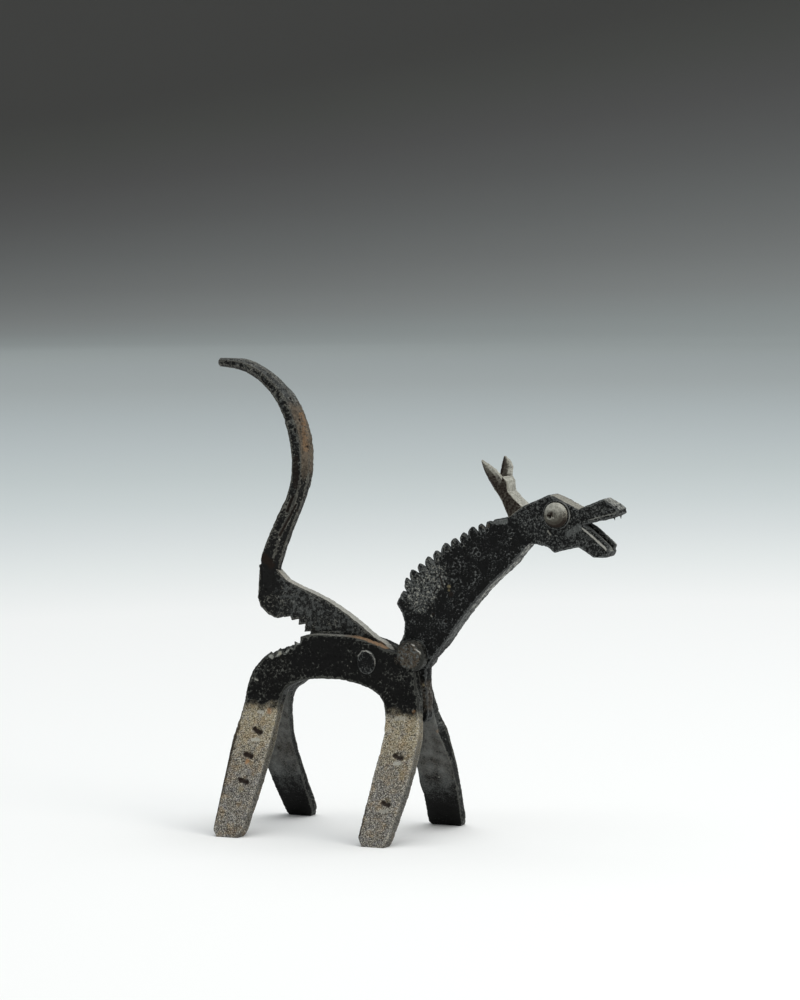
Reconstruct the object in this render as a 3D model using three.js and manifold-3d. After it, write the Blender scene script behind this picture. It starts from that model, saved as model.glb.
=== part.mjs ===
// Lever nutcracker in the shape of a standing long-necked beast, forged from flat iron bar.
// The nut goes between the toothed haunch and the toothed underside of the tail, which is the lever.
// Millimetres, +Z up, +X towards the head. The origin is under the middle of the part, on the floor.
import * as THREE from "three";
import { mergeVertices } from "three/addons/utils/BufferGeometryUtils.js";
import Module from "manifold-3d";

const wasm = await Module();
wasm.setup();

// Body: two flat side bars, slotted apart so that the lever swings between them.
const barThickness = 5.2;
const archHeight = 66.6; // floor to the underside of the back
const backDepth = 18.6; // underside of the back to its top
const rearReach = 58.6; // lever pivot to the back of the rear legs
const frontReach = 27.4; // lever pivot to the front of the front legs
const splayAngle = 27.5; // degrees that each leg leans outwards
const splayRadius = 14; // middle of the bar, where it bends out into a leg
const shoulderRadius = 6.6;
const leftRearLegBow = 5.0; // that leg was hammered further back than its twin
const leftFrontFootFlare = 3.3; // that foot was hammered wider, forwards, than its twin
const toothDepth = 2.7; // of the haunch teeth
const punchWidth = 3.0;
const punchDepth = 1.2;

// Lever: a thin toothed blade whose heel rises into the tail.
const bladeThickness = 5.0;
const slotClearance = 0.3; // between the blade and each side bar
const bladeReach = 54.1; // pivot to the back of the heel
const bladeRise = 38.8; // pivot to the top of the heel
const eyeRadius = 9.5; // of the blade round the pivot
const bladeToothDepth = 2.2;
const tailReach = 39.0; // foremost bend of the tail to its end
const tailRise = 86.8; // top of the heel to the top curl of the tail
const tailWidth = 6.7; // seen from the side
const tailThickness = 9.0; // across the part

// Neck and head: one flat bar thickness, shouldered down to a tongue between the side bars.
const neckThickness = 9.0;
const neckReach = 73.2; // pivot to the throat
const neckRise = 64.1; // pivot to the end of the mane
const maneDepth = 2.0;
const headReach = 41.8; // throat to the nose tip
const headDepth = 23.6; // crown to chin corner
const jawGrooveDepth = 1.9;
const jawEdge = 1.8; // wall left on each side of the groove in the lower jaw
const nostrilRadius = 0.8;
const fangLength = 1.9;
const fangRadius = 1.1;

// Horns: a short stem that forks into two leaf-shaped prongs.
const hornRise = 24.4; // end of the mane to the prong tips
const hornSpread = 11.3; // middle plane to a prong tip
const hornRake = 9.0; // end of the mane back to the prong tips
const prongWidth = 4.8;
const prongThickness = 3.2;

// Rivets and eyes.
const fitClearance = 0.3; // round a pin in its hole, and between pieces that seat on a curve
const pivotPinRadius = 3.2;
const pivotHeadWidth = 8.4;
const pivotHeadHeight = 10.4;
const pivotHeadRise = 0.8;
const shoulderPinRadius = 2.8;
const shoulderHeadRadius = 5.7;
const shoulderHeadRise = 1.5;
const eyePinRadius = 2.0;
const eyeRadiusAcross = 5.2;
const eyeRise = 2.6;
const eyeRingRadius = 6.1;
const eyeRingThickness = 0.9;
const pupilRadius = 1.2;

// Every cutter runs this far past what it cuts.
const overrun = 3;

// Places that follow from the sizes above.
const slotHalf = bladeThickness / 2 + slotClearance;
const bodyHalf = slotHalf + barThickness;
const pivotHeightShare = 0.425; // of the back's depth, above its underside
const pivotHeight = archHeight + backDepth * pivotHeightShare;
const splayStartShare = 0.93; // of the arch height
const splayStart = archHeight * splayStartShare;
const splay = THREE.MathUtils.degToRad(splayAngle);

const iron = (color, roughness) =>
  new THREE.MeshStandardMaterial({ color, roughness, metalness: 0.7 });
const blackIron = iron(0x2c2a28, 0.75);
const scaledIron = iron(0x3d3933, 0.85);
const rubbedIron = iron(0x6d6a62, 0.6);

// A closed geometry as a solid that can be joined and cut.
function solid(geometry) {
  const bare = geometry.index ? geometry.toNonIndexed() : geometry.clone();
  bare.deleteAttribute("normal");
  bare.deleteAttribute("uv");
  const merged = mergeVertices(bare, 1e-5);
  return new wasm.Manifold(
    new wasm.Mesh({
      numProp: 3,
      vertProperties: merged.attributes.position.array,
      triVerts: new Uint32Array(merged.index.array),
    }),
  );
}

function meshOf(name, body, material) {
  const { vertProperties, triVerts } = body.getMesh();
  const geometry = new THREE.BufferGeometry();
  geometry.setAttribute("position", new THREE.BufferAttribute(vertProperties, 3));
  geometry.setIndex(new THREE.BufferAttribute(triVerts, 1));
  const mesh = new THREE.Mesh(geometry.toNonIndexed(), material);
  mesh.geometry.computeVertexNormals();
  mesh.name = name;
  return mesh;
}

// A flat plate cut to an outline seen from the side, from one distance across the part to another.
function plate(outline, from, to) {
  const shape = new THREE.Shape(outline.map(([x, z]) => new THREE.Vector2(x, z)));
  const geometry = new THREE.ExtrudeGeometry(shape, { depth: to - from, bevelEnabled: false });
  geometry.rotateX(Math.PI / 2);
  geometry.translate(0, to, 0);
  return solid(geometry);
}

// A disc whose axis runs across the part.
function disc(radius, from, to, [x, z], sides = 32) {
  const geometry = new THREE.CylinderGeometry(radius, radius, to - from, sides);
  geometry.translate(x, (from + to) / 2, z);
  return solid(geometry);
}

// A rivet or eye turned about an axis across the part, from profile points of radius and distance.
function turned(profile, [x, z], sides = 32) {
  const points = profile.map(([radius, y]) => new THREE.Vector2(radius, y));
  const geometry = new THREE.LatheGeometry(points, sides);
  geometry.translate(x, 0, z);
  return solid(geometry);
}

// The head of a rivet, domed by hammering, above the face that it is closed on.
function domeProfile(radius, seat, rise) {
  const domeShares = [
    [1, 0],
    [0.97, 0.3],
    [0.8, 0.68],
    [0.5, 0.91],
    [0, 1],
  ];
  return domeShares.map(([across, up]) => [radius * across, seat + rise * up]);
}

// A hole for a pin, through a plate that lies between two distances across the part.
function pinHole(pinRadius, from, to, place) {
  return disc(pinRadius + fitClearance, from - overrun, to + overrun, place);
}

function rivet(pinRadius, headRadius, seat, rise, place) {
  const top = domeProfile(headRadius, seat, rise);
  const bottom = top.map(([radius, y]) => [radius, -y]).reverse();
  return turned([...bottom, [pinRadius, -seat], [pinRadius, seat], ...top], place);
}

// A smooth line through hand-chosen places.
function smooth(places) {
  const points = places.map(([x, z]) => new THREE.Vector3(x, 0, z));
  return new THREE.CatmullRomCurve3(points, false, "centripetal");
}

function pointOn(curve, share) {
  const { x, z } = curve.getPoint(share);
  return [x, z];
}

function sampled(places, steps) {
  const curve = smooth(places);
  return Array.from({ length: steps + 1 }, (_, i) => pointOn(curve, i / steps));
}

// The value at a share of the way along a row of values.
function between(values, share) {
  const place = share * (values.length - 1);
  const i = Math.min(Math.floor(place), values.length - 2);
  return THREE.MathUtils.lerp(values[i], values[i + 1], place - i);
}

// A bar forged along a path: eight-sided, with its own width and thickness at each station.
// Thicknesses lie across the part, and widths square to them and to the path.
function forgedBar(path, widths, thicknesses, steps) {
  const across = new THREE.Vector3(0, 1, 0);
  const curve = new THREE.CatmullRomCurve3(path, false, "centripetal");
  const geometry = new THREE.CylinderGeometry(1, 1, 1, 8, steps, false, Math.PI / 8);
  const flat = 1 / Math.cos(Math.PI / 8);
  const at = geometry.attributes.position;
  const local = new THREE.Vector3();
  for (let i = 0; i < at.count; i += 1) {
    local.fromBufferAttribute(at, i);
    const share = THREE.MathUtils.clamp(local.y + 0.5, 0, 1);
    const tangent = curve.getTangent(share);
    const normal = new THREE.Vector3().crossVectors(tangent, across).normalize();
    const side = new THREE.Vector3().crossVectors(normal, tangent);
    const point = curve.getPoint(share);
    point.addScaledVector(normal, (local.x * flat * between(widths, share)) / 2);
    point.addScaledVector(side, (local.z * flat * between(thicknesses, share)) / 2);
    at.setXYZ(i, point.x, point.y, point.z);
  }
  return solid(geometry);
}

// The side bars are drawn flat and then bent outwards below the body. These two give the height
// on the flat bar of a place on the finished leg, and the finished place of a point on the flat bar.
const bendDrop = splayRadius * Math.sin(splay);
const bendLength = splayRadius * splay;

function flatHeight(height) {
  const drop = splayStart - height;
  if (drop <= 0) return height;
  if (drop < bendDrop) return splayStart - splayRadius * Math.asin(drop / splayRadius);
  return splayStart - bendLength - (drop - bendDrop) / Math.cos(splay);
}

function bendOut(geometry) {
  const at = geometry.attributes.position;
  const barMiddle = slotHalf + barThickness / 2;
  const centre = barMiddle + splayRadius;
  for (let i = 0; i < at.count; i += 1) {
    const side = Math.sign(at.getY(i));
    const radius = centre - Math.abs(at.getY(i));
    const along = splayStart - at.getZ(i);
    if (along <= 0) continue;
    const turn = Math.min(along / splayRadius, splay);
    const straight = Math.max(along - bendLength, 0);
    const y = centre - radius * Math.cos(turn) + straight * Math.sin(turn);
    const z = splayStart - radius * Math.sin(turn) - straight * Math.cos(turn);
    at.setXYZ(i, at.getX(i), side * y, z);
  }
  return geometry;
}

// A place on the body: along it as a share of the reach behind or ahead of the pivot, and up it as
// a share of the arch height up to 1, and of the back's depth from 1 to 2.
function onBody([alongShare, upShare]) {
  const x = alongShare * (alongShare < 0 ? rearReach : frontReach);
  const z = upShare > 1 ? archHeight + (upShare - 1) * backDepth : upShare * archHeight;
  return [x, z];
}

// The two edges of a side bar, from the rear foot over the back to the front foot.
const outerEdgeShares = [
  [-0.96, 0],
  [-0.985, 0.035],
  [-0.997, 0.18],
  [-1, 0.36],
  [-0.99, 0.54],
  [-0.967, 0.69],
  [-0.96, 0.81],
  [-0.963, 0.9],
  [-0.945, 0.973],
  [-0.9, 1.16],
  [-0.84, 1.365],
  [-0.77, 1.55],
  [-0.652, 1.742],
  [-0.533, 1.93],
  [-0.427, 1.99],
  [-0.273, 2],
  [-0.102, 1.978],
  [0.09, 1.871],
  [0.355, 1.72],
  [0.62, 1.61],
  [0.81, 1.21],
  [0.825, 0.983],
  [0.872, 0.905],
  [0.898, 0.835],
  [0.949, 0.76],
  [1, 0.653],
  [0.996, 0.54],
  [0.974, 0.4],
  [0.925, 0.25],
  [0.865, 0.105],
  [0.838, 0.036],
  [0.79, 0],
];
const innerEdgeShares = [
  [-0.8, 0],
  [-0.775, 0.035],
  [-0.75, 0.18],
  [-0.722, 0.36],
  [-0.705, 0.54],
  [-0.695, 0.69],
  [-0.693, 0.81],
  [-0.685, 0.876],
  [-0.659, 0.918],
  [-0.622, 0.943],
  [-0.574, 0.963],
  [-0.522, 0.98],
  [-0.452, 0.992],
  [-0.35, 1],
  [-0.23, 1],
  [-0.137, 0.989],
  [-0.044, 0.971],
  [0.095, 0.944],
  [0.234, 0.907],
  [0.307, 0.869],
  [0.336, 0.85],
  [0.35, 0.839],
  [0.387, 0.805],
  [0.424, 0.762],
  [0.446, 0.711],
  [0.449, 0.63],
  [0.434, 0.53],
  [0.412, 0.4],
  [0.398, 0.25],
  [0.382, 0.105],
  [0.376, 0.036],
  [0.43, 0],
];
const outerEdge = smooth(outerEdgeShares.map(onBody));
const innerEdge = smooth(innerEdgeShares.map(onBody));
const edgeRows = 2 * (outerEdgeShares.length - 1);
const shoulderPlace = onBody([0.73, 1.613]);
const pivotPlace = [0, pivotHeight];

// The haunch teeth are the tips left between notches filed across the back where the nut sits.
// A notch's bottom lies a share of the way from one tip to the next, sunk by a share of the tooth depth.
const haunchTipShares = [
  [-0.77, 1.551],
  [-0.694, 1.643],
  [-0.632, 1.702],
  [-0.582, 1.825],
  [-0.532, 1.924],
];
const haunchCutShares = [
  [0.12, 0.76],
  [0.28, 1],
  [0.42, 1.02],
  [0.49, 0.9],
];

function cutBottom(fromTip, toTip, [alongShare, deepShare], depth) {
  const from = new THREE.Vector2(...fromTip);
  const line = new THREE.Vector2(...toTip).sub(from);
  const inward = new THREE.Vector2(line.y, -line.x).normalize();
  const bottom = from.addScaledVector(line, alongShare);
  return bottom.addScaledVector(inward, deepShare * depth).toArray();
}

function haunchNotches() {
  const tips = haunchTipShares.map(onBody);
  const reach = bodyHalf + overrun;
  return haunchCutShares.map((cut, i) => {
    const bottom = cutBottom(tips[i], tips[i + 1], cut, toothDepth);
    const slope = (toothDepth + overrun) / toothDepth;
    const raise = ([x, z]) => [
      bottom[0] + (x - bottom[0]) * slope,
      bottom[1] + (z - bottom[1]) * slope,
    ];
    return plate([bottom, raise(tips[i + 1]), raise(tips[i])], -reach, reach);
  });
}

// Small square punch marks down the outside of each leg.
const punchShares = [
  [-0.812, 0.65],
  [-0.842, 0.502],
  [-0.84, 0.343],
  [0.745, 0.545],
  [0.7, 0.262],
];

function punchMark(placeShare, side) {
  const [x, z] = onBody(placeShare);
  const reach = punchDepth + overrun;
  const spread = (punchWidth / Math.SQRT2) * (reach / punchDepth);
  const geometry = new THREE.ConeGeometry(spread, reach, 4);
  geometry.rotateY(Math.PI / 4);
  if (side > 0) geometry.rotateZ(Math.PI);
  geometry.translate(x, side * (bodyHalf - punchDepth + reach / 2), flatHeight(z));
  return solid(bendOut(geometry));
}

// How far a left leg stands from its right twin, at a height on the flat bar and a share of the way
// from the leg's inner edge to its outer one. The rear leg is bowed back, most above its middle and
// not at all at its ends, and the front leg widens forwards towards its foot.
function leftLegShift(height, edgeShare, isRear) {
  const down = THREE.MathUtils.clamp((splayStart - height) / (splayStart - flatHeight(0)), 0, 1);
  const bowPower = 0.6; // below 1, which lifts the peak of the bow
  const flarePower = 2; // above 1, which keeps the flare low on the leg
  if (isRear) return -leftRearLegBow * Math.sin(Math.PI * down ** bowPower);
  return leftFrontFootFlare * edgeShare * down ** flarePower;
}

// One side bar: back, haunch, rear leg and front leg in one forging.
function bodySide(side) {
  const columns = 4;
  const geometry = new THREE.BoxGeometry(1, 1, 1, edgeRows, 1, columns);
  const near = side > 0 ? slotHalf : -bodyHalf;
  const far = near + barThickness;
  const at = geometry.attributes.position;
  for (let i = 0; i < at.count; i += 1) {
    const along = at.getX(i) + 0.5;
    const outer = pointOn(outerEdge, along);
    const inner = pointOn(innerEdge, along);
    const share = at.getZ(i) + 0.5;
    const z = THREE.MathUtils.lerp(flatHeight(inner[1]), flatHeight(outer[1]), share);
    const shift = side > 0 ? leftLegShift(z, share, outer[0] < 0) : 0;
    const x = THREE.MathUtils.lerp(inner[0], outer[0], share) + shift;
    const foot = along === 0 || along === 1 ? overrun : 0;
    at.setXYZ(i, x, near + (at.getY(i) + 0.5) * barThickness, z - foot);
  }
  let bar = solid(bendOut(geometry));
  bar = bar.add(disc(shoulderRadius, near, far, shoulderPlace));
  bar = bar.subtract(pinHole(pivotPinRadius, near, far, pivotPlace));
  bar = bar.subtract(pinHole(shoulderPinRadius, near, far, shoulderPlace));
  for (const notch of haunchNotches()) bar = bar.subtract(notch);
  for (const mark of punchShares) bar = bar.subtract(punchMark(mark, side));
  return bar.subtract(belowFloor());
}

// Everything under the floor, so that the soles of the feet are cut level.
function belowFloor() {
  const depth = overrun + barThickness + pivotHeight;
  const length = 2 * (rearReach + frontReach);
  const width = 2 * (bodyHalf + archHeight);
  const geometry = new THREE.BoxGeometry(length, width, depth);
  geometry.translate(0, 0, -depth / 2);
  return solid(geometry);
}

// The toothed block that is fire-welded between the bars at the haunch. It stops behind the blade.
function haunchBlock() {
  const crotchShare = 0.2323; // of the way along the edges, from the rear foot
  const frontShare = 0.406;
  const steps = 12;
  const share = (i) => THREE.MathUtils.lerp(crotchShare, frontShare, i / steps);
  const top = Array.from({ length: steps + 1 }, (_, i) => pointOn(outerEdge, share(i)));
  const bottom = Array.from({ length: steps + 1 }, (_, i) => pointOn(innerEdge, share(i)));
  let block = plate([...top, ...bottom.reverse()], -slotHalf, slotHalf);
  for (const notch of haunchNotches()) block = block.subtract(notch);
  return block;
}

// A place on the blade: behind the pivot as a share of its reach, above it as a share of its rise.
const onBlade = ([backShare, upShare]) => [-backShare * bladeReach, pivotHeight + upShare * bladeRise];

const bladeTopShares = [
  [-0.13, 0.17],
  [0, 0.278],
  [0.09, 0.376],
  [0.19, 0.472],
  [0.3, 0.567],
  [0.41, 0.65],
  [0.553, 0.73],
  [0.652, 0.781],
  [0.754, 0.845],
  [0.824, 0.943],
];
const heelShares = [
  [0.9, 1.02],
  [0.985, 1],
  [0.997, 0.784],
  [1, 0.637],
  [0.974, 0.548],
  [0.915, 0.474],
  [0.862, 0.424],
];
const bladeTipShares = [
  [0.554, 0.24],
  [0.595, 0.281],
  [0.648, 0.352],
  [0.705, 0.404],
  [0.774, 0.43],
  [0.827, 0.416],
];
const bladeCutShares = [
  [0.11, 1.04],
  [0.51, 1.32],
  [0.32, 1.21],
  [0.29, 0.72],
  [0.26, 0.98],
];
const bladeUndersideShares = [
  [0.3, 0.06],
  [0.1, -0.18],
];

// The toothed edge of the blade, as saw teeth that point down at the haunch.
function bladeToothEdge() {
  const tips = bladeTipShares.map(onBlade);
  const edge = [tips[0]];
  bladeCutShares.forEach((cut, i) => {
    edge.push(cutBottom(tips[i], tips[i + 1], cut, bladeToothDepth), tips[i + 1]);
  });
  return edge.reverse();
}

// The tail's middle line from its curled end down into the heel, with its width and thickness.
// A place is given from the top of the heel: back as a share of the tail's reach, up as one of its rise.
const [heelX, heelZ] = onBlade([0.9176, 1]);
const onTail = ([backShare, upShare]) =>
  new THREE.Vector3(heelX - backShare * tailReach, 0, heelZ + upShare * tailRise);
const tailLineShares = [
  [0.599, 1],
  [0.374, 0.996],
  [0.197, 0.973],
  [0.019, 0.926],
  [-0.14, 0.863],
  [-0.256, 0.786],
  [-0.337, 0.702],
  [-0.386, 0.614],
  [-0.401, 0.518],
  [-0.38, 0.423],
  [-0.324, 0.329],
  [-0.232, 0.235],
  [-0.139, 0.139],
  [-0.06, 0.052],
  [-0.015, -0.027],
  [0, -0.107],
];
const tailWidthShares = [
  0.42, 0.62, 0.7, 0.78, 0.86, 0.93, 0.97, 1, 1, 0.97, 0.91, 0.9, 0.97, 1.08, 1.2, 1.24,
];
const tailThicknessShares = [
  0.5, 0.58, 0.66, 0.74, 0.82, 0.9, 0.96, 1, 1, 1, 1, 0.98, 0.94, 0.86, 0.74, 0.6,
];

function tailLever() {
  const half = bladeThickness / 2;
  const outline = [
    ...bladeTopShares.map(onBlade),
    ...heelShares.map(onBlade),
    ...bladeToothEdge(),
    ...bladeUndersideShares.map(onBlade),
  ];
  const widths = tailWidthShares.map((share) => share * tailWidth);
  const thicknesses = tailThicknessShares.map((share) => share * tailThickness);
  const steps = 40;
  const tail = forgedBar(tailLineShares.map(onTail), widths, thicknesses, steps);
  return plate(outline, -half, half)
    .add(disc(eyeRadius, -half, half, pivotPlace))
    .add(tail)
    .subtract(pinHole(pivotPinRadius, -half, half, pivotPlace));
}

// A place on the neck: ahead of the pivot and above it, as shares of the neck's reach and rise.
const onNeck = ([aheadShare, upShare]) => [aheadShare * neckReach, pivotHeight + upShare * neckRise];
const maneEndShare = [0.88, 1];
const throatShare = [1, 0.835];
const chestShares = [
  [0.38, 0.033],
  [0.434, 0.095],
  [0.523, 0.228],
  [0.61, 0.362],
  [0.705, 0.487],
  [0.807, 0.603],
  [0.899, 0.697],
  [0.958, 0.78],
  throatShare,
];
const maneTipShares = [
  [0.205, 0.48],
  [0.232, 0.568],
  [0.265, 0.625],
  [0.316, 0.671],
  [0.369, 0.719],
  [0.419, 0.763],
  [0.479, 0.815],
  [0.534, 0.849],
  [0.595, 0.89],
  [0.65, 0.928],
  [0.703, 0.95],
  [0.757, 0.967],
  [0.798, 0.98],
];
const maneCutShares = [
  [0.15, 0.37],
  [0.06, 0.94],
  [0.37, 0.96],
  [0.26, 1.04],
  [0.22, 1.14],
  [0.21, 1.01],
  [0.28, 0.97],
  [0.29, 1.02],
  [0.18, 0.9],
  [0.42, 0.84],
  [0.4, 0.52],
  [0.53, 0.44],
];
const rootShares = [
  [0.172, 0.087],
  [0.217, 0.195],
  [0.224, 0.273],
  [0.205, 0.336],
  [0.171, 0.394],
  [0.191, 0.437],
];
const tongueShares = [
  [0.168, 0],
  [0.186, -0.133],
  [0.24, -0.273],
  [0.294, -0.359],
  [0.333, -0.392],
  [0.354, -0.37],
  [0.358, -0.296],
  [0.347, -0.203],
  [0.34, -0.117],
  [0.344, -0.034],
];
const chestSteps = 12;

// The mane: rounded teeth between notches that are chiselled into the back of the neck.
function maneEdge() {
  const tips = maneTipShares.map(onNeck);
  const bulgeShare = 0.16; // of the mane's depth, by which the sides of a tooth swell
  const swollen = (from, to, share) => {
    const side = new THREE.Vector2(...to).sub(new THREE.Vector2(...from));
    const outward = new THREE.Vector2(-side.y, side.x).normalize();
    const place = new THREE.Vector2(...from).addScaledVector(side, share);
    return place.addScaledVector(outward, bulgeShare * maneDepth).toArray();
  };
  const edge = [tips[0]];
  maneCutShares.forEach((cut, i) => {
    const bottom = cutBottom(tips[i], tips[i + 1], cut, maneDepth);
    edge.push(swollen(tips[i], bottom, 0.35), bottom, swollen(bottom, tips[i + 1], 0.7), tips[i + 1]);
  });
  return edge;
}

function neck() {
  const half = neckThickness / 2;
  const outline = [
    ...tongueShares.map(onNeck),
    ...sampled(chestShares.map(onNeck), chestSteps),
    onNeck(maneEndShare),
    ...maneEdge().reverse(),
    ...rootShares.map(onNeck).reverse(),
  ];
  // Below this line the neck is shouldered down to the tongue that fits between the bars.
  const shoulderLineShares = [
    [-0.2, 1.9],
    [1.6, 1.42],
    [1.6, 0.5],
    [-0.2, 0.5],
  ];
  let bar = plate(outline, -half, half);
  for (const side of [-1, 1]) {
    const from = side > 0 ? slotHalf : -half - overrun;
    const to = side > 0 ? half + overrun : -slotHalf;
    bar = bar.subtract(plate(shoulderLineShares.map(onBody), from, to));
    bar = bar.subtract(disc(shoulderRadius + fitClearance, from, to, shoulderPlace));
  }
  return bar.subtract(pinHole(shoulderPinRadius, -half, half, shoulderPlace));
}

// A place on the head: ahead of the throat and above it, as shares of the head's reach and depth.
const throat = onNeck(throatShare);
const onHead = ([aheadShare, upShare]) => [
  throat[0] + aheadShare * headReach,
  throat[1] + upShare * headDepth,
];
const hornSeat = onHead([-0.062, 0.653]);
const mouthCorner = onHead([0.639, 0.373]);
const lowerJawTip = onHead([0.89, 0.008]);
const noseTop = onHead([0.816, 0.845]);
const noseTip = onHead([0.99, 0.674]);
const fangPlace = onHead([0.93, 0.55]);
const eyePlace = onHead([0.318, 0.538]);
const upperJawShares = [
  [1, 0.6],
  [0.957, 0.559],
  [0.842, 0.487],
  [0.708, 0.445],
];
const chinShares = [
  [0.9, -0.09],
  [0.852, -0.178],
  [0.737, -0.195],
  [0.557, -0.008],
  [0.294, -0.127],
  [0.22, -0.03],
  [0.084, 0.017],
];
const crownShares = [
  [0.031, 0.72],
  [0.234, 0.882],
  [0.325, 0.822],
  [0.553, 0.64],
  [0.632, 0.703],
];

// A direction along the line from one place to another, as a turn about the across axis.
const slopeOf = (from, to) => Math.atan2(to[1] - from[1], to[0] - from[0]);

function headGroove() {
  const length = Math.hypot(lowerJawTip[0] - mouthCorner[0], lowerJawTip[1] - mouthCorner[1]);
  const width = neckThickness - 2 * jawEdge;
  const geometry = new THREE.BoxGeometry(length + overrun, width, 2 * jawGrooveDepth);
  geometry.translate((length + overrun) / 2, 0, 0);
  geometry.rotateY(-slopeOf(mouthCorner, lowerJawTip));
  geometry.translate(mouthCorner[0], 0, mouthCorner[1]);
  return solid(geometry);
}

function head() {
  const half = neckThickness / 2;
  const outline = [
    throat,
    ...chinShares.map(onHead).reverse(),
    lowerJawTip,
    mouthCorner,
    ...upperJawShares.map(onHead).reverse(),
    noseTip,
    noseTop,
    ...crownShares.map(onHead).reverse(),
    hornSeat,
    onNeck(maneEndShare),
  ];
  let bar = plate(outline, -half, half).subtract(headGroove());
  const noseSlope = slopeOf(noseTop, noseTip);
  for (const side of [-1, 1]) {
    const nostril = new THREE.SphereGeometry(nostrilRadius, 12, 8);
    const nostrilShare = 0.72; // down the end face of the nose
    nostril.translate(
      THREE.MathUtils.lerp(noseTop[0], noseTip[0], nostrilShare),
      (side * half) / 2,
      THREE.MathUtils.lerp(noseTop[1], noseTip[1], nostrilShare),
    );
    bar = bar.subtract(solid(nostril));
    const fang = new THREE.ConeGeometry(fangRadius, fangLength * 2, 6);
    fang.rotateX(-Math.PI / 2);
    fang.rotateY(noseSlope / 2);
    fang.translate(fangPlace[0], side * (half - fangRadius), fangPlace[1]);
    bar = bar.add(solid(fang));
  }
  return bar.subtract(pinHole(eyePinRadius, -half, half, eyePlace));
}

// The horns stand on the nape, their foot level with the end of the neck.
const hornFoot = onNeck(maneEndShare);
const onHorn = ([backShare, upShare]) => [
  hornFoot[0] - backShare * hornRake,
  hornFoot[1] + upShare * hornRise,
];
const stemShares = [
  [-0.25, 0.33],
  [0.05, 0.45],
  [0.11, 0.62],
  [0.3, 0.7],
  [0.66, 0.66],
  [0.7, 0.53],
  [0.36, 0.31],
];
// The middle line of a prong: back, out to its side and up.
const prongLineShares = [
  [0.49, 0.17, 0.5],
  [0.68, 0.5, 0.735],
  [1, 1, 1],
];
const prongWidthShares = [1.1, 1.1, 1.05, 0.9, 0.6, 0.16];
const prongThicknessShares = [1, 1, 0.95, 0.8, 0.55, 0.25];

function horns() {
  const half = neckThickness / 2;
  let forging = plate([hornFoot, hornSeat, ...stemShares.map(onHorn)], -half, half);
  const widths = prongWidthShares.map((share) => share * prongWidth);
  const thicknesses = prongThicknessShares.map((share) => share * prongThickness);
  const steps = 10;
  for (const side of [-1, 1]) {
    const path = prongLineShares.map(([backShare, spreadShare, upShare]) => {
      const [x, z] = onHorn([backShare, upShare]);
      return new THREE.Vector3(x, side * spreadShare * hornSpread, z);
    });
    forging = forging.add(forgedBar(path, widths, thicknesses, steps));
  }
  return forging;
}

// The eyes are the two domed ends of one rivet, each closed over a thin ring.
const headHalf = neckThickness / 2;

function eyeRing(side) {
  const from = side > 0 ? headHalf : -headHalf - eyeRingThickness;
  const ring = disc(eyeRingRadius, from, from + eyeRingThickness, eyePlace);
  return ring.subtract(pinHole(eyePinRadius, from, from + eyeRingThickness, eyePlace));
}

function eyeRivet() {
  const seat = headHalf + eyeRingThickness;
  let pin = rivet(eyePinRadius, eyeRadiusAcross, seat, eyeRise, eyePlace);
  const pupilBackShare = 0.42; // of the eye's radius, towards the throat
  const pupilDropShare = 0.105;
  const pupilLiftShare = 0.95; // of the dome's rise
  for (const side of [-1, 1]) {
    const pupil = new THREE.SphereGeometry(pupilRadius, 16, 12);
    const x = eyePlace[0] - eyeRadiusAcross * pupilBackShare;
    const z = eyePlace[1] - eyeRadiusAcross * pupilDropShare;
    pupil.translate(x, side * (seat + eyeRise * pupilLiftShare), z);
    pin = pin.subtract(solid(pupil));
  }
  return pin;
}

function pivotRivet() {
  const radius = pivotHeadHeight / 2;
  const top = domeProfile(radius, bodyHalf, pivotHeadRise);
  const bottom = top.map(([across, y]) => [across, -y]).reverse();
  const points = [...bottom, ...top].map(([across, y]) => new THREE.Vector2(across, y));
  const heads = new THREE.LatheGeometry(points, 32);
  heads.scale(pivotHeadWidth / pivotHeadHeight, 1, 1);
  heads.translate(0, 0, pivotHeight);
  const shankHalf = bodyHalf + pivotHeadRise / 2;
  const shank = disc(pivotPinRadius, -shankHalf, shankHalf, pivotPlace);
  const between = disc(pivotHeadHeight, -bodyHalf, bodyHalf, pivotPlace);
  return solid(heads).subtract(between).add(shank);
}

function shoulderRivet() {
  return rivet(shoulderPinRadius, shoulderHeadRadius, bodyHalf, shoulderHeadRise, shoulderPlace);
}

const nutcracker = new THREE.Group();
nutcracker.add(
  meshOf("right_body_side", bodySide(-1), scaledIron),
  meshOf("left_body_side", bodySide(1), scaledIron),
  meshOf("haunch_jaw_block", haunchBlock(), blackIron),
  meshOf("neck", neck(), blackIron),
  meshOf("head", head(), blackIron),
  meshOf("horns", horns(), rubbedIron),
  meshOf("eye_rivet", eyeRivet(), rubbedIron),
  meshOf("right_eye_ring", eyeRing(-1), blackIron),
  meshOf("left_eye_ring", eyeRing(1), blackIron),
  meshOf("tail_lever", tailLever(), blackIron),
  meshOf("pivot_rivet", pivotRivet(), blackIron),
  meshOf("shoulder_rivet", shoulderRivet(), blackIron),
);

// The pieces are drawn about the lever pivot, so the group moves back over the middle of its length.
const extent = new THREE.Box3().setFromObject(nutcracker);
nutcracker.position.x = -(extent.min.x + extent.max.x) / 2;

export default nutcracker;
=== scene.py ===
import math
import random

import bmesh
import bpy
import numpy as np
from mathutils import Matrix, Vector, kdtree, noise


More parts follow.
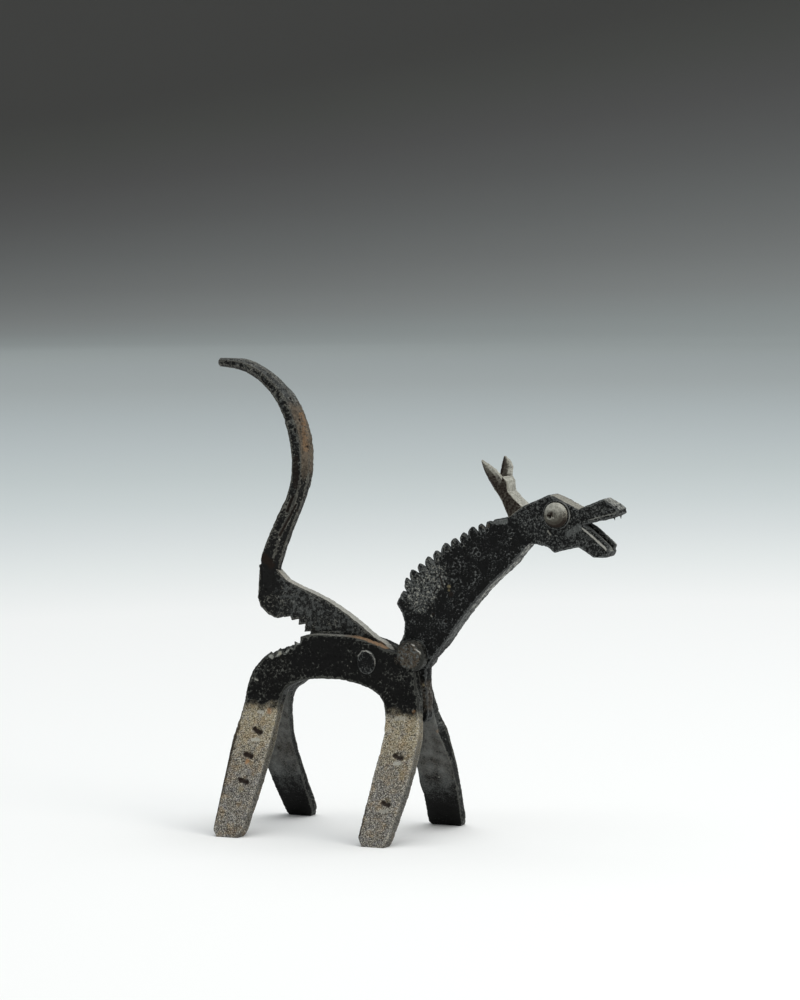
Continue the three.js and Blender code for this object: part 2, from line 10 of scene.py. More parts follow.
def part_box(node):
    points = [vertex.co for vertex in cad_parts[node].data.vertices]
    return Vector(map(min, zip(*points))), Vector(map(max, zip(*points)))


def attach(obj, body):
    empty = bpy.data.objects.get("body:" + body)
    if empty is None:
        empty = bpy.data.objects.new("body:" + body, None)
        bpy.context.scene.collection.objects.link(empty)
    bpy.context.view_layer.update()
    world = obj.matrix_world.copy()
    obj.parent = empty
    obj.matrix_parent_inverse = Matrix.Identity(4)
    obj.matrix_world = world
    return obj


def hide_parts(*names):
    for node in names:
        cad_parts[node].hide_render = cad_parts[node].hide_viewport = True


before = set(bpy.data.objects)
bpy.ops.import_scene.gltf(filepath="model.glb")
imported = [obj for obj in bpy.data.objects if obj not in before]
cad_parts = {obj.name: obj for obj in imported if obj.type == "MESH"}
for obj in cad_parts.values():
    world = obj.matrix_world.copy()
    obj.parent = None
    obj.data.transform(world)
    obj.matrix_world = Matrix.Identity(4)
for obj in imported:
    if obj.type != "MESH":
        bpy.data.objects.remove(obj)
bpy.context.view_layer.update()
MM = 0.001

# The view: a long lens a little above the beast's back, off its right shoulder, so that the near side
# is seen almost flat and the far legs show between and beyond the near ones.
view_azimuth = math.radians(24.754)
view_elevation = math.radians(5.3)
view_distance = 2500 * MM
view_target = Vector((-9.0, 0, 143.7)) * MM
view_back = Vector((
    math.sin(view_azimuth) * math.cos(view_elevation),
    -math.cos(view_azimuth) * math.cos(view_elevation),
    math.sin(view_elevation),
))
lens = bpy.data.cameras.new("long_lens")
lens.lens = 211.5  # millimetres, as is the sensor
lens.sensor_width = 36
lens.clip_start = 0.1
lens.clip_end = 50
camera = bpy.data.objects.new("long_lens", lens)
camera.location = view_target + view_back * view_distance
camera.rotation_mode = "QUATERNION"
camera.rotation_quaternion = (-view_back).to_track_quat("-Z", "Y")
bpy.context.scene.collection.objects.link(camera)
bpy.context.scene.camera = camera

# The right side bar: back, haunch, rear leg and front leg in one flat wrought-iron forging, bent out
# below the body. Its skin is hammered and pitted, soot-black above and bare grey-brown scale below.
join_reach = 0.002 * MM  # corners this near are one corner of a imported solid
bar_face = 0.35 * MM  # side of the small faces that carry the hammered skin
bar_edge_passes = 1  # rounds that ease the sharp edges
dent_size = 7 * MM  # one blow of the hammer's face
dent_depth = 0.16 * MM
scale_size = 2.2 * MM  # patches of forge scale
scale_depth = 0.13 * MM
pit_size = 1.7 * MM  # spacing of the small corrosion pits
pit_depth = 0.22 * MM
pit_lot = 0.45  # a cell whose number is below this holds a pit
grit_size = 0.9 * MM  # grains of the bare scale on the legs
grit_depth = 0.05 * MM
leg_line = 53 * MM  # height at which the soot stops on the legs


def surface(mesh):
    """The places and the outward directions of a mesh's points, as two arrays."""
    mesh.update()
    found = []
    for points, what in ((mesh.vertices, "co"), (mesh.vertex_normals, "vector")):
        values = np.empty(len(points) * 3, np.float32)
        points.foreach_get(what, values)
        found.append(values.reshape(-1, 3).astype(float))
    return found


def move_to(mesh, places):
    mesh.vertices.foreach_set("co", places.astype(np.float32).ravel())
    mesh.update()


def remade(node, face_size, edge_passes):
    """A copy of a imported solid, remade in even small faces, with its sharp edges eased."""
    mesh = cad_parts[node].data.copy()
    shape = bmesh.new()
    shape.from_mesh(mesh)
    bmesh.ops.remove_doubles(shape, verts=shape.verts, dist=join_reach)
    shape.to_mesh(mesh)
    shape.free()
    solid = bpy.data.objects.new("solid_" + node, mesh)
    piece = bpy.data.objects.new("forged_" + node, mesh.copy())
    for made in (solid, piece):
        bpy.context.scene.collection.objects.link(made)
    even = piece.modifiers.new("even_faces", "REMESH")
    even.mode = "VOXEL"
    even.voxel_size = face_size
    even.use_smooth_shade = True
    true = piece.modifiers.new("true_to_solid", "SHRINKWRAP")
    true.target = solid
    true.wrap_method = "NEAREST_SURFACEPOINT"
    dressed = piece.evaluated_get(bpy.context.evaluated_depsgraph_get())
    piece.data = bpy.data.meshes.new_from_object(dressed)
    piece.data.name = piece.name
    piece.modifiers.clear()
    bpy.data.objects.remove(solid)
    piece.data.materials.clear()
    shape = bmesh.new()
    shape.from_mesh(piece.data)
    for _ in range(edge_passes):
        bmesh.ops.smooth_vert(
            shape, verts=shape.verts, factor=0.5, use_axis_x=True, use_axis_y=True, use_axis_z=True
        )
    shape.to_mesh(piece.data)
    shape.free()
    return piece


def clouds(places, size, octaves=3):
    """Soft uneven noise over the places, about -1 to 1, with lumps of that size."""
    return np.array([noise.fractal(Vector(p), 1.0, 2.0, octaves) for p in places / size])


def cells(places, size):
    """How many cells each place is from the middle of its own cell, and a fixed number for that cell."""
    near = np.empty(len(places))
    lot = np.empty(len(places))
    spread = 7.3  # keeps neighbours from one number
    for i, p in enumerate(places / size):
        distances, middles = noise.voronoi(Vector(p))
        near[i] = distances[0]
        lot[i] = noise.cell(middles[0] * spread)
    return near, lot


def fade(values, low, high):
    """0 at low and 1 at high, with a soft start and end. Low may be the greater."""
    share = np.clip((values - low) / (high - low), 0, 1)
    return share * share * (3 - 2 * share)


def facing(outward, x, y, z, low=0.5, high=0.9):
    """1 where the surface faces that way, and 0 where it faces well away from it."""
    way = np.array([x, y, z]) / math.sqrt(x * x + y * y + z * z)
    return fade(outward @ way, low, high)


def hammered_skin(places, dents=1, scale=1, pits=1):
    """How far hammer blows, forge scale and corrosion lift or sink each place."""
    blow, _ = cells(places, dent_size)
    height = dents * dent_depth * (2 * blow * blow - 0.5)
    height += scale * scale_depth * clouds(places, scale_size, 4)
    apart = 40 * MM  # so that the pits' pattern isn't the blows'
    pit, lot = cells(places + apart, pit_size)
    height -= pits * pit_depth * (1 - fade(pit, 0.12, 0.55)) * (lot < pit_lot)
    return height


def craters(places, outward, height, draw, count, radius_range, depth):
    """Adds scattered pits, each with a lip thrown up on one side."""
    tree = kdtree.KDTree(len(places))
    for i, p in enumerate(places):
        tree.insert(p, i)
    tree.balance()
    lip_share = 0.6  # of the depth
    reach = 1.6  # radii from the middle, where the lip has run out
    ragged_size = 0.9 * MM
    for _ in range(count):
        middle = draw.randrange(len(places))
        radius = draw.uniform(*radius_range)
        thrown = np.array([draw.uniform(-1, 1) for _ in range(3)])
        thrown /= np.linalg.norm(thrown)
        for _, i, distance in tree.find_range(places[middle], reach * radius):
            if outward[i] @ outward[middle] < 0.5:
                continue
            ragged = 1 + 0.5 * noise.noise(Vector(places[i] / ragged_size))
            out = distance / radius * ragged
            bowl = -depth * (1 - min(out, 1) ** 2)
            side = max(0.0, (places[i] - places[middle]) @ thrown / max(distance, 1e-9))
            height[i] += bowl + lip_share * depth * side * math.exp(-(((out - 1.05) / 0.25) ** 2))


def from_line(places, start, end):
    """How far each place is from the line between two ends, in millimetres. The ends may be one place."""
    start, along = np.array(start, float), np.array(end, float) - np.array(start, float)
    away = places / MM - start
    share = np.clip(away @ along / max(along @ along, 1e-9), 0, 1)
    return np.linalg.norm(away - share[:, None] * along, axis=1)


def patches(places, spots):
    """Where the given patches lie. Each is a place, or a streak's two ends, then its radius and its
    strength. All are in millimetres."""
    cover = np.zeros(len(places))
    reach = 2.2  # radii from the line, past which no ragged edge comes
    ragged_size = 1.5 * MM
    for *ends, radius, strength in spots:
        away = from_line(places, ends[0], ends[-1]) / radius
        near = np.flatnonzero(away < reach)
        ragged = 1 + 0.4 * clouds(places[near], ragged_size)
        cover[near] = np.maximum(cover[near], strength * (1 - fade(away[near] * ragged, 0.4, 1.15)))
    return cover


def struck(places, height, marks):
    """Sinks chisel cuts and punch marks, each with a low lip: its two ends, its width and its depth."""
    lip_share = 0.25  # of the depth
    for start, end, width, depth in marks:
        away = from_line(places, start, end) / (width / 2)
        height -= depth * MM * np.clip(1.15 - away, 0, 1)
        height += lip_share * depth * MM * np.exp(-(((away - 1.35) / 0.3) ** 2))


def drawn(places, pulls):
    """Draws the forging out or in along lines. Each pull is a radius, then the line's points, each with how
    far it moves in x and in z. All are in millimetres."""
    moved = places.copy()
    for radius, *stations in pulls:
        nearest = np.full(len(places), np.inf)
        shift = np.zeros((len(places), 2))
        for first, last in zip(stations, stations[1:]):
            start, end = np.array(first[:3], float), np.array(last[:3], float)
            along = end - start
            share = np.clip((places / MM - start) @ along / (along @ along), 0, 1)[:, None]
            away = np.linalg.norm(places / MM - start - share * along, axis=1)
            closer = away < nearest
            nearest[closer] = away[closer]
            moves = np.array(first[3:]) * (1 - share) + np.array(last[3:]) * share
            shift[closer] = moves[closer]
        moved[:, [0, 2]] += np.exp(-((nearest / radius) ** 2))[:, None] * shift * MM
    return moved


def filled_out(outward, grown):
    """The height that makes good what the easing of the edges took off the outline."""
    return grown * MM * (1 - np.abs(outward[:, 1]))


def within_solid(node, places):
    """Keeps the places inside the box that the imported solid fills."""
    low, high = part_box(node)
    return np.clip(places, np.array(low), np.array(high))


def store(mesh, name, values):
    """Keeps a number for each point of a mesh, for its material to read."""
    kept = mesh.attributes.new(name, "FLOAT", "POINT")
    kept.data.foreach_set("value", np.clip(values, 0, 1).astype(np.float32))


def read_relief(mesh):
    """Keeps how proud of its surroundings each point stands, and how sunk it lies."""
    passes = 14  # rounds of levelling that give the surroundings
    full = 0.14 * MM  # stands or lies this far at the most
    places, outward = surface(mesh)
    ends = np.empty(len(mesh.edges) * 2, np.int32)
    mesh.edges.foreach_get("vertices", ends)
    a, b = ends.reshape(-1, 2).T
    neighbours = np.bincount(a, minlength=len(places)) + np.bincount(b, minlength=len(places))
    flat = places.copy()
    for _ in range(passes):
        total = np.stack([
            np.bincount(a, flat[b, k], len(places)) + np.bincount(b, flat[a, k], len(places))
            for k in range(3)
        ], axis=1)
        flat = (flat + total / neighbours[:, None]) / 2
    proud = ((places - flat) * outward).sum(1)
    store(mesh, "proud", proud / full)
    store(mesh, "sunk", -proud / full)


def linear(colour):
    """An sRGB hex colour as the linear values that a shader takes."""
    parts = [int(colour[i:i + 2], 16) / 255 for i in (1, 3, 5)]
    return [c / 12.92 if c <= 0.04045 else ((c + 0.055) / 1.055) ** 2.4 for c in parts] + [1]


def add(tree, kind, sockets=None, **settings):
    """Adds a shader node with its settings. A socket's value is a number, a colour or another's output."""
    made = tree.nodes.new("ShaderNode" + kind)
    for name, value in settings.items():
        setattr(made, name, value)
    for name, value in (sockets or {}).items():
        if isinstance(value, bpy.types.NodeSocket):
            tree.links.new(value, made.inputs[name])
        else:
            made.inputs[name].default_value = value
    return made


mottle_size = 5 * MM
speck_size = 0.62 * MM  # a pixel and a half of the view; the painted glints stand for points of light that go on down to dust size
bare_grain_size = 0.5 * MM  # as coarse as it has to be to show
bare_patch_size = 2.6 * MM
roughness_size = 0.5 * MM  # the finest unevenness, which only bends the light
roughness_height = 0.12 * MM


def iron(name, soot, soot_light, glint_speck, rim_highlight, rough=0.6, bare=None):
    """Wrought iron as it leaves the fire. The oxide is matt black with a faint mottle, and light specks on
    its high points are painted glints. With bare colours it turns to naked grey-brown scale down the legs."""
    material = bpy.data.materials.new(name)
    material.use_nodes = True
    tree = material.node_tree
    tree.nodes.clear()
    where = add(tree, "TexCoord").outputs["Object"]

    # Broad mottling of the oxide, then painted glints: light specks on the high points of the skin.
    speck_start = 0.9  # of the grain with what is added to it
    mottle, grain, fine = [
        add(tree, "TexNoise", {
            "Vector": where, "Scale": 1 / size, "Detail": detail, "Roughness": harshness,
        }).outputs["Fac"]
        for size, detail, harshness in (
            (mottle_size, 5, 0.65), (speck_size, 4, 0.65), (roughness_size, 4, 0.7),
        )
    ]
    proud, sunk, smooth = [
        add(tree, "Attribute", attribute_name=trait).outputs["Fac"] for trait in ("proud", "sunk", "smooth")
    ]
    colour = add(tree, "Mix", {
        "Factor": mottle, 6: linear(soot), 7: linear(soot_light),
    }, data_type="RGBA").outputs[2]
    relief = add(tree, "Math", {0: proud, 1: sunk}, operation="SUBTRACT").outputs[0]
    glint_field = grain
    for value, share in ((relief, 0.42), (mottle, 0.6), (smooth, -0.4)):
        glint_field = add(tree, "Math", {0: value, 1: share, 2: glint_field}, operation="MULTIPLY_ADD").outputs[0]
    glint_specks = add(tree, "MapRange", {
        "Value": glint_field, "From Min": speck_start, "From Max": speck_start + 0.18,
    }).outputs[0]
    colour = add(tree, "Mix", {
        "Factor": glint_specks, 6: colour, 7: linear(glint_speck),
    }, data_type="RGBA").outputs[2]

    naked = 0
    if bare:
        upper, lower, dark, light = bare
        naked, low = [
            add(tree, "Attribute", attribute_name=trait).outputs["Fac"] for trait in ("bare", "low")
        ]
        ground = add(tree, "Mix", {
            "Factor": low, 6: linear(upper), 7: linear(lower),
        }, data_type="RGBA").outputs[2]
        blotch, grit = [
            add(tree, "TexNoise", {
                "Vector": where, "Scale": 1 / size, "Detail": detail, "Roughness": harshness,
            }).outputs["Fac"]
            for size, detail, harshness in ((bare_patch_size, 4, 0.7), (bare_grain_size, 2, 0.6))
        ]
        grit = add(tree, "Math", {0: relief, 1: 0.04, 2: grit}, operation="MULTIPLY_ADD").outputs[0]
        for value, start, full, most, under, over in (
            (blotch, 0.45, 0.62, 0.55, None, "#83858a"), (mottle, 0.5, 0.62, 0.5, None, "#a2875f"),
            (grit, 0.36, 0.54, 1, dark, None), (grit, 0.55, 0.68, 1, None, light),
        ):
            cover = add(tree, "MapRange", {
                "Value": value, "From Min": start, "From Max": full, "To Max": most,
            }).outputs[0]
            ground = add(tree, "Mix", {
                "Factor": cover, 6: linear(under) if under else ground, 7: linear(over) if over else ground,
            }, data_type="RGBA").outputs[2]
        colour = add(tree, "Mix", {
            "Factor": naked, 6: colour, 7: ground,
        }, data_type="RGBA").outputs[2]

    # Patches that lie where the smoke, the rust and the hand left them, with painted light and sheen among
    # them, broken up by the grain of the skin, then painted highlights on the rims, but not on naked scale,
    # hollows, and edges rubbed to bright metal, which carry painted highlights too. A layer is where it is
    # laid, what is added to that and how much, where it starts and is full, its most, and its colour.
    # The ash tint is partly real ash and partly painted sheen and painted light on faces turned to the lamps
    # or the bright floor.
    tints = {
        "ash_and_sheen": "#7f8280", "umber": "#6a5f52", "olive": "#8d8264", "rust": "#a67c52", "pale": "#b3b2a8",
        "black": "#211812",
    }
    # Painted highlights: a lighter colour on the high points and crater lips that stand proud.
    highlit_rims = add(tree, "Math", {0: proud, 1: smooth}, operation="SUBTRACT").outputs[0]
    layers = [(patch, grain, 0.7, 0.55, 1.2, 1, tint) for patch, tint in tints.items()] + [
        (highlit_rims, naked, -0.8, 0.55, 1, 0.8, rim_highlight), (sunk, naked, -0.7, 0.3, 1, 0.85, "#0a0908"),
        ("rubbed_and_highlight", grain, 0.6, 0.5, 1.1, 1, "#b9b7b0"),
    ]
    for laid, added, share, start, full, most, tint in layers:
        if isinstance(laid, str):
            laid = add(tree, "Attribute", attribute_name=laid).outputs["Fac"]
        value = add(tree, "Math", {0: added, 1: share, 2: laid}, operation="MULTIPLY_ADD").outputs[0]
        cover = add(tree, "MapRange", {
            "Value": value, "From Min": start, "From Max": full, "To Max": most,
        }).outputs[0]
        colour = add(tree, "Mix", {
            "Factor": cover, 6: colour, 7: linear(tint),
        }, data_type="RGBA").outputs[2]
    rubbed_and_highlight = cover  # the last layer's

    shine = add(tree, "MapRange", {
        "Value": grain, "From Min": 0.3, "From Max": 0.7, "To Min": rough + 0.12, "To Max": rough - 0.12,
    }).outputs[0]
    bump = add(tree, "Bump", {"Height": fine, "Distance": roughness_height, "Strength": 0.8})
    metal = add(tree, "BsdfPrincipled", {
        "Base Color": colour,
        "Roughness": shine,
        "Metallic": add(tree, "MapRange", {"Value": rubbed_and_highlight, "To Max": 0.7}).outputs[0],
        "Specular IOR Level": 0.12,  # soot swallows what bare oxide would reflect
        "Normal": bump.outputs["Normal"],
    })
    add(tree, "OutputMaterial", {"Surface": metal.outputs["BSDF"]})
    return material


# Forge scale left bare by wear: rough and dry, yellowish at the top of the leg and greyer at the foot.
leg_iron = iron(
    "sooted_and_bare_scale_iron", soot="#070707", soot_light="#161615", glint_speck="#565752", rim_highlight="#20201f",
    bare=("#aca084", "#7f7a71", "#332f28", "#cbc6b8"),
)


def finish_piece(piece, moved, cover, material, body, node):
    """Moves a piece's points and keeps how its patches cover them, then gives it its material, sets it on
    its body and puts it in its plain solid's place."""
    move_to(piece.data, within_solid(node, moved))
    read_relief(piece.data)
    for name, share in cover.items():
        store(piece.data, name, share)
    piece.data.materials.append(material)
    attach(piece, body)
    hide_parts(node)


def forged_bar(side, seed, pulls, marks, patchwork):
    """One side bar. The outsides of the legs are bare scale below the soot line."""
    node = ("right" if side < 0 else "left") + "_body_side"
    piece = remade(node, bar_face, bar_edge_passes)
    places, outward = surface(piece.data)
    x, y, z = places.T
    soot_edge = 3 * MM  # half of the height over which the soot thins out
    ragged = 2.2 * MM * clouds(places, 4 * MM, 4)
    below = 1 - fade(z + ragged, leg_line - soot_edge, leg_line + soot_edge)
    facing_out = fade(side * outward[:, 1], 0.15, 0.6)
    inner = fade(z, 62 * MM, 52 * MM) * fade(-side * outward[:, 1], 0.1, 0.5)
    plain = np.maximum(below * facing_out, inner)  # the legs' faces have few pits
    height = hammered_skin(places, pits=1 - 0.92 * plain, scale=1 - 0.5 * plain)
    height += below * grit_depth * clouds(places, grit_size, 2)
    unpitted = height.copy()
    craters(
        places, outward, height, random.Random(seed),
        count=110, radius_range=(0.5 * MM, 1.3 * MM), depth=0.24 * MM,
    )
    height = unpitted + (1 - 0.8 * plain) * (height - unpitted)
    struck(places, height, marks)
    teeth = fade(z, 74 * MM, 77 * MM)  # these stay clear of the blade
    height += (1 - 0.8 * teeth) * filled_out(outward, 0.3)
    sole = fade(z, 0.2 * MM, 1.5 * MM)  # keeps the soles level
    moved = drawn(places + outward * (height * sole)[:, None], pulls)
    if side < 0:  # the file ran across this bar at a slant, in line with the haunch
        file_slant = 0.46  # how far back the cut runs for its length across the bar
        file_fall = 0.45  # how far down it runs for that
        outer_face = -8 * MM
        cut = teeth * fade(x, -70 * MM, -67 * MM) * fade(x, -50 * MM, -53 * MM)
        slide = file_slant * (y - outer_face) * cut
        moved[:, 0] -= slide
        moved[:, 2] -= file_fall * slide
    front_leg = x > -40 * MM
    worn = np.where(  # how much of the soot is gone from the legs' narrow fronts, by height
        front_leg,
        np.interp(z / MM, (0, 8, 25, 40, 50), (0.6, 0.5, 0.35, 0.4, 0.6)),
        np.interp(z / MM, (0, 15, 30, 45), (0.65, 0.55, 0.35, 0.3)),
    )
    flank = worn * facing(outward, 1, 0, 0.1, 0.35, 0.7)
    calm = fade(x, -60 * MM, -46 * MM) * fade(x, -8 * MM, -16 * MM)
    calm *= fade(z, 60 * MM, 64 * MM)  # the middle of the back has the fewest painted glints
    cover = patchwork(places, outward)
    cover["bare"] = below * np.maximum(facing_out, flank * (side < 0))
    cover["smooth"] = np.maximum(inner, 0.2 * calm)
    cover["low"] = fade(z, 46 * MM, 22 * MM)
    finish_piece(piece, moved, cover, leg_iron, "body", node)


# Where the file ran out over the bar's outer face at each notch of the haunch, x and z.
notch_ends = ((-66.2, 74.9), (-62.7, 76.1), (-59.3, 77.3), (-56.2, 79.3), (-53.5, 81.5))

# The painted highlight, a bright line along the edge where the pivot's head was hammered down over the bar, x
# and z.
pivot_highlight_arc = ((-25, 77), (-23.1, 79.2), (-21.1, 79.4), (-18.7, 78.2), (-17, 75.7), (-17, 72.2))


def streaks(points, y, radius, strength):
    """One patch for each stretch of a line that runs through points x, z at that y."""
    return [((a, y, b), (c, y, d), radius, strength) for (a, b), (c, d) in zip(points, points[1:])]


def right_patchwork(places, outward):
    """How strongly each colour of the patchwork lies on each place, 0 to 1."""
    x, _, z = (places / MM).T
    up = facing(outward, 0.1, 0, 1)
    # Painted sheen: the arch's underside, turned to the bright floor, is painted grey as its reflection.
    sheen_under_arch = facing(outward, 0.5, 0, -0.9, 0.4, 0.8) * fade(z, 50, 58)
    # The filed floors between the teeth, turned up, are painted grey: partly filed metal, partly painted
    # light from above.
    filed_lit_tooth_floors = facing(outward, 0.4, 0, 0.9, 0.75, 0.95)
    filed_lit_tooth_floors *= fade(x, -68, -67) * fade(x, -50, -51) * fade(z, 72, 73)
    # Painted light: the face turned forward, toward the front lamp, is painted a lighter grey.
    lit_front_face = facing(outward, 1, 0, 0, 0.6, 0.9) * fade(x, -12, -8) * fade(z, 74, 60)
    rust = [
        ((-65.3, -12, 51.5), 2, 0.55), ((-70.4, -22.7, 30.9), 1.5, 0.7), ((-78.7, -29.9, 17), 1.3, 0.4),
        ((-69.4, -37.5, 2.5), 1.2, 0.3), ((2.2, -10.3, 54.8), 1.2, 0.4), ((-0.8, -14.8, 46.1), 1.6, 0.25),
    ]
    olive = [
        ((-62.2, -14.6, 46.6), 1.6, 0.4), ((-73.9, -15, 45.7), 4.5, 0.25), ((-70.7, -28.5, 19.8), 1.8, 0.5),
        ((3, -12, 52), (3.4, -14.6, 47), 2, 0.4), ((1.5, -22.7, 31.5), (3.4, -24, 28), 1.4, 0.4),
        ((-3.5, -27.7, 19.6), (-0.5, -28.1, 18.9), 1.3, 0.4), ((-62, -8, 76.2), 1, 0.6),
        ((-73.3, -11.4, 54.2), 1.1, 0.35),
    ]
    pale = [
        ((-70.4, -12.2, 51), (-68.2, -12.2, 50.8), 1.1, 0.6),
        ((-70.2, -18.2, 39.6), (-67.6, -18, 39.9), 1.2, 0.7),
        ((-5.2, -11.9, 51.6), (-1.4, -11.9, 51.8), 1.5, 0.45),
        ((-1.8, -21.3, 33.7), (0.6, -21.3, 33.9), 1.2, 0.7),
        ((-3.6, -31.2, 14.5), (-0.6, -31.2, 14.5), 1.3, 0.5), ((-75.2, -8, 65), (-72.6, -8, 64), 0.5, 0.7),
        ((-72, -8, 70.1), 0.6, 0.5), ((-63.4, -8, 68.8), 0.7, 0.35), ((-65.8, -8, 73.9), 0.6, 0.5),
        ((-28.3, -8, 74.3), 0.5, 0.5), ((-30, -8, 72.5), 0.5, 0.4), ((-32.1, -8, 70.3), 0.5, 0.45),
        ((-58.9, -8, 77.9), 0.9, 0.35), ((-66.2, -8, 75.3), 0.8, 0.4),
    ]
    black = [
        ((-70.2, -16, 44.2), (-67.4, -16.4, 42.6), 1.6, 0.9),
        ((-69.8, -16.4, 42.7), (-67.4, -16, 43.7), 1, 0.7),
        ((-72.1, -21.1, 33.7), (-69, -21.5, 32.8), 1.6, 0.9),
        ((-69.8, -21.3, 33.3), (-68.8, -21.6, 32.4), 1.3, 0.7),
        ((-71.8, -26.6, 23.3), (-68.7, -27.1, 22.5), 1.6, 0.9),
        ((-69.6, -27, 22.9), (-68.6, -27.2, 22.6), 1.3, 0.7),
        ((-2.2, -19.6, 36.9), (0.8, -20, 35.9), 1.6, 0.85),
        ((-0.8, -19.8, 36.6), (0.2, -20, 35.8), 1.5, 0.5),
        ((-3.4, -29.4, 17.8), (-0.6, -29.8, 17.2), 1.6, 0.85), ((-6.7, -34.6, 8.1), 0.7, 0.6),
    ]
    notches = patches(places, [((x - 0.2, -8, z), (x + 0.6, -8, z + 0.6), 1.5, 1) for x, z in notch_ends])
    lobe = patches(places, [((-6, -8, 82), (2, -8, 82), 3.5, 1), ((-6, -8, 76), (-2, -8, 78), 3.5, 0.7)])
    # Darker in clouds towards the feet.
    darker_near_feet = 0.5 * fade(clouds(places, 3 * MM, 4), -0.3, 0.6) * fade(z, 16, 3)
    back_edge = patches(places, [
        ((-77.8, -9, 57), (-79.6, -38, 2), 1.7, 1), ((-10.8, -9, 56), (-11.2, -38, 2), 1.7, 1),
    ])
    return {
        "ash_and_sheen": np.maximum.reduce([
            0.3 * sheen_under_arch, 0.3 * filed_lit_tooth_floors, 0.25 * lit_front_face, 0.9 * notches, 0.25 * lobe,
        ]),
        "umber": np.maximum(0.4 * lobe, 0.6 * up * fade(x, -33, -31) * fade(x, -11, -13)),
        "rust": np.maximum(
            patches(places, rust), 0.4 * up * fade(x, -36, -24) * fade(x, -11, -13) * fade(z, 79, 80),
        ),
        "olive": patches(places, olive),
        "pale": np.maximum.reduce([
            patches(places, pale), 0.5 * notches,
            # painted light from above on the top face of the back, partly rubbed
            0.35 * up * fade(x, -50, -48) * fade(x, -30, -33) * fade(z, 80, 82),
        ]),
        "black": np.maximum.reduce([patches(places, black), 0.75 * back_edge * fade(z, 56, 50), darker_near_feet]),
        "rubbed_and_highlight": np.maximum(
            # rubbed metal with painted highlights on the top face of the back, and the painted highlight
            # along the pivot's head
            0.3 * up * fade(x, -50, -48) * fade(x, -24, -32) * fade(z, 78, 80),
            patches(places, streaks(pivot_highlight_arc[:4], -8, 0.32, 0.6)),
        ),
    }


forged_bar(
    side=-1,
    seed=11,
    pulls=[
        (3.2, (-77.3, -8, 60, -0.3, 0), (-78.2, -13, 49.5, -0.7, 0), (-78.9, -24, 28.5, -1.1, 0),
         (-79.2, -37, 3, -1.3, 0)),
        (3, (-16, -8, 62.5, -0.4, 0), (-11.5, -8, 60, -0.9, 0), (-10.3, -9, 56, -1.1, 0),
         (-10.2, -14, 47.5, -1, 0), (-10.2, -19, 38, -0.5, 0), (-10.4, -28, 21, -0.6, 0),
         (-10.6, -37, 3, -0.7, 0)),
    ] + [
        (radius, *[(x, y, 0.2, move, rise) for y in (-39.5, -34)])  # the corners of the feet
        for radius, x, move, rise in (
            (1.5, -79.6, 1.2, 0.5), (1.5, -11.2, 1, 0.5), (1.4, 4.4, -1, 0.5), (1.4, -65.6, -0.7, 0.4),
        )
    ],
    marks=[
        (start, end, 2.6, 0.35)  # the hollows round the punch marks
        for start, end in (
            ((-70.2, -16, 43.9), (-67.2, -16.4, 42.8)), ((-71.8, -21.1, 33.9), (-69, -21.5, 32.9)),
            ((-71.6, -26.6, 23.4), (-68.7, -27.1, 22.4)), ((-2, -19.6, 36.9), (1, -20, 35.9)),
            ((-3.2, -29.4, 17.9), (-0.4, -29.8, 17.1)),
        )
    ] + [((x - 0.2, -8, z), (x + 0.5, -8, z + 0.5), 1.8, 0.12) for x, z in notch_ends],
    patchwork=right_patchwork,
)

# The left side bar, its twin but for the rear leg, which is bowed back, and the front foot, which is
# hammered wider. Its inner faces, seen between the near legs, kept their soot, and painted shade makes
# them blacker towards the feet.


def left_patchwork(places, outward):
    x, _, z = (places / MM).T
    inward = facing(outward, 0.4, -1, 0.1, 0.2, 0.7)
    # Painted shade: the grey on the inner faces thins towards the feet, where the body shades them.
    less_painted_shade = fade(z, 5, 30)
    cloudy = clouds(places, 5 * MM, 3)
    # Painted sheen: grey on the arch's underside, as the bright floor's reflection.
    sheen_under_arch = facing(outward, 0.5, 0, -0.9, 0.4, 0.8) * fade(z, 50, 58)
    pale = [((-0.3, 21.2, 22.6), 0.5, 0.7), ((-1.4, 17.4, 29.8), 2, 0.15), ((0.7, 19, 26.7), 2, 0.15)]
    return {
        "ash_and_sheen": np.maximum(
            inward * (0.14 + 0.38 * less_painted_shade + 0.12 * fade(z, 30, 50)) * (0.9 + 0.5 * cloudy),
            0.3 * sheen_under_arch,
        ),
        "umber": 0.3 * inward * less_painted_shade,
        "rust": patches(places, [((6.4, 10.5, 44), 1.2, 0.35)]),
        "olive": patches(places, [((-69, 13, 49), 3.5, 0.3), ((0, 15, 44), 3, 0.3)]),
        "pale": patches(places, pale),
    }


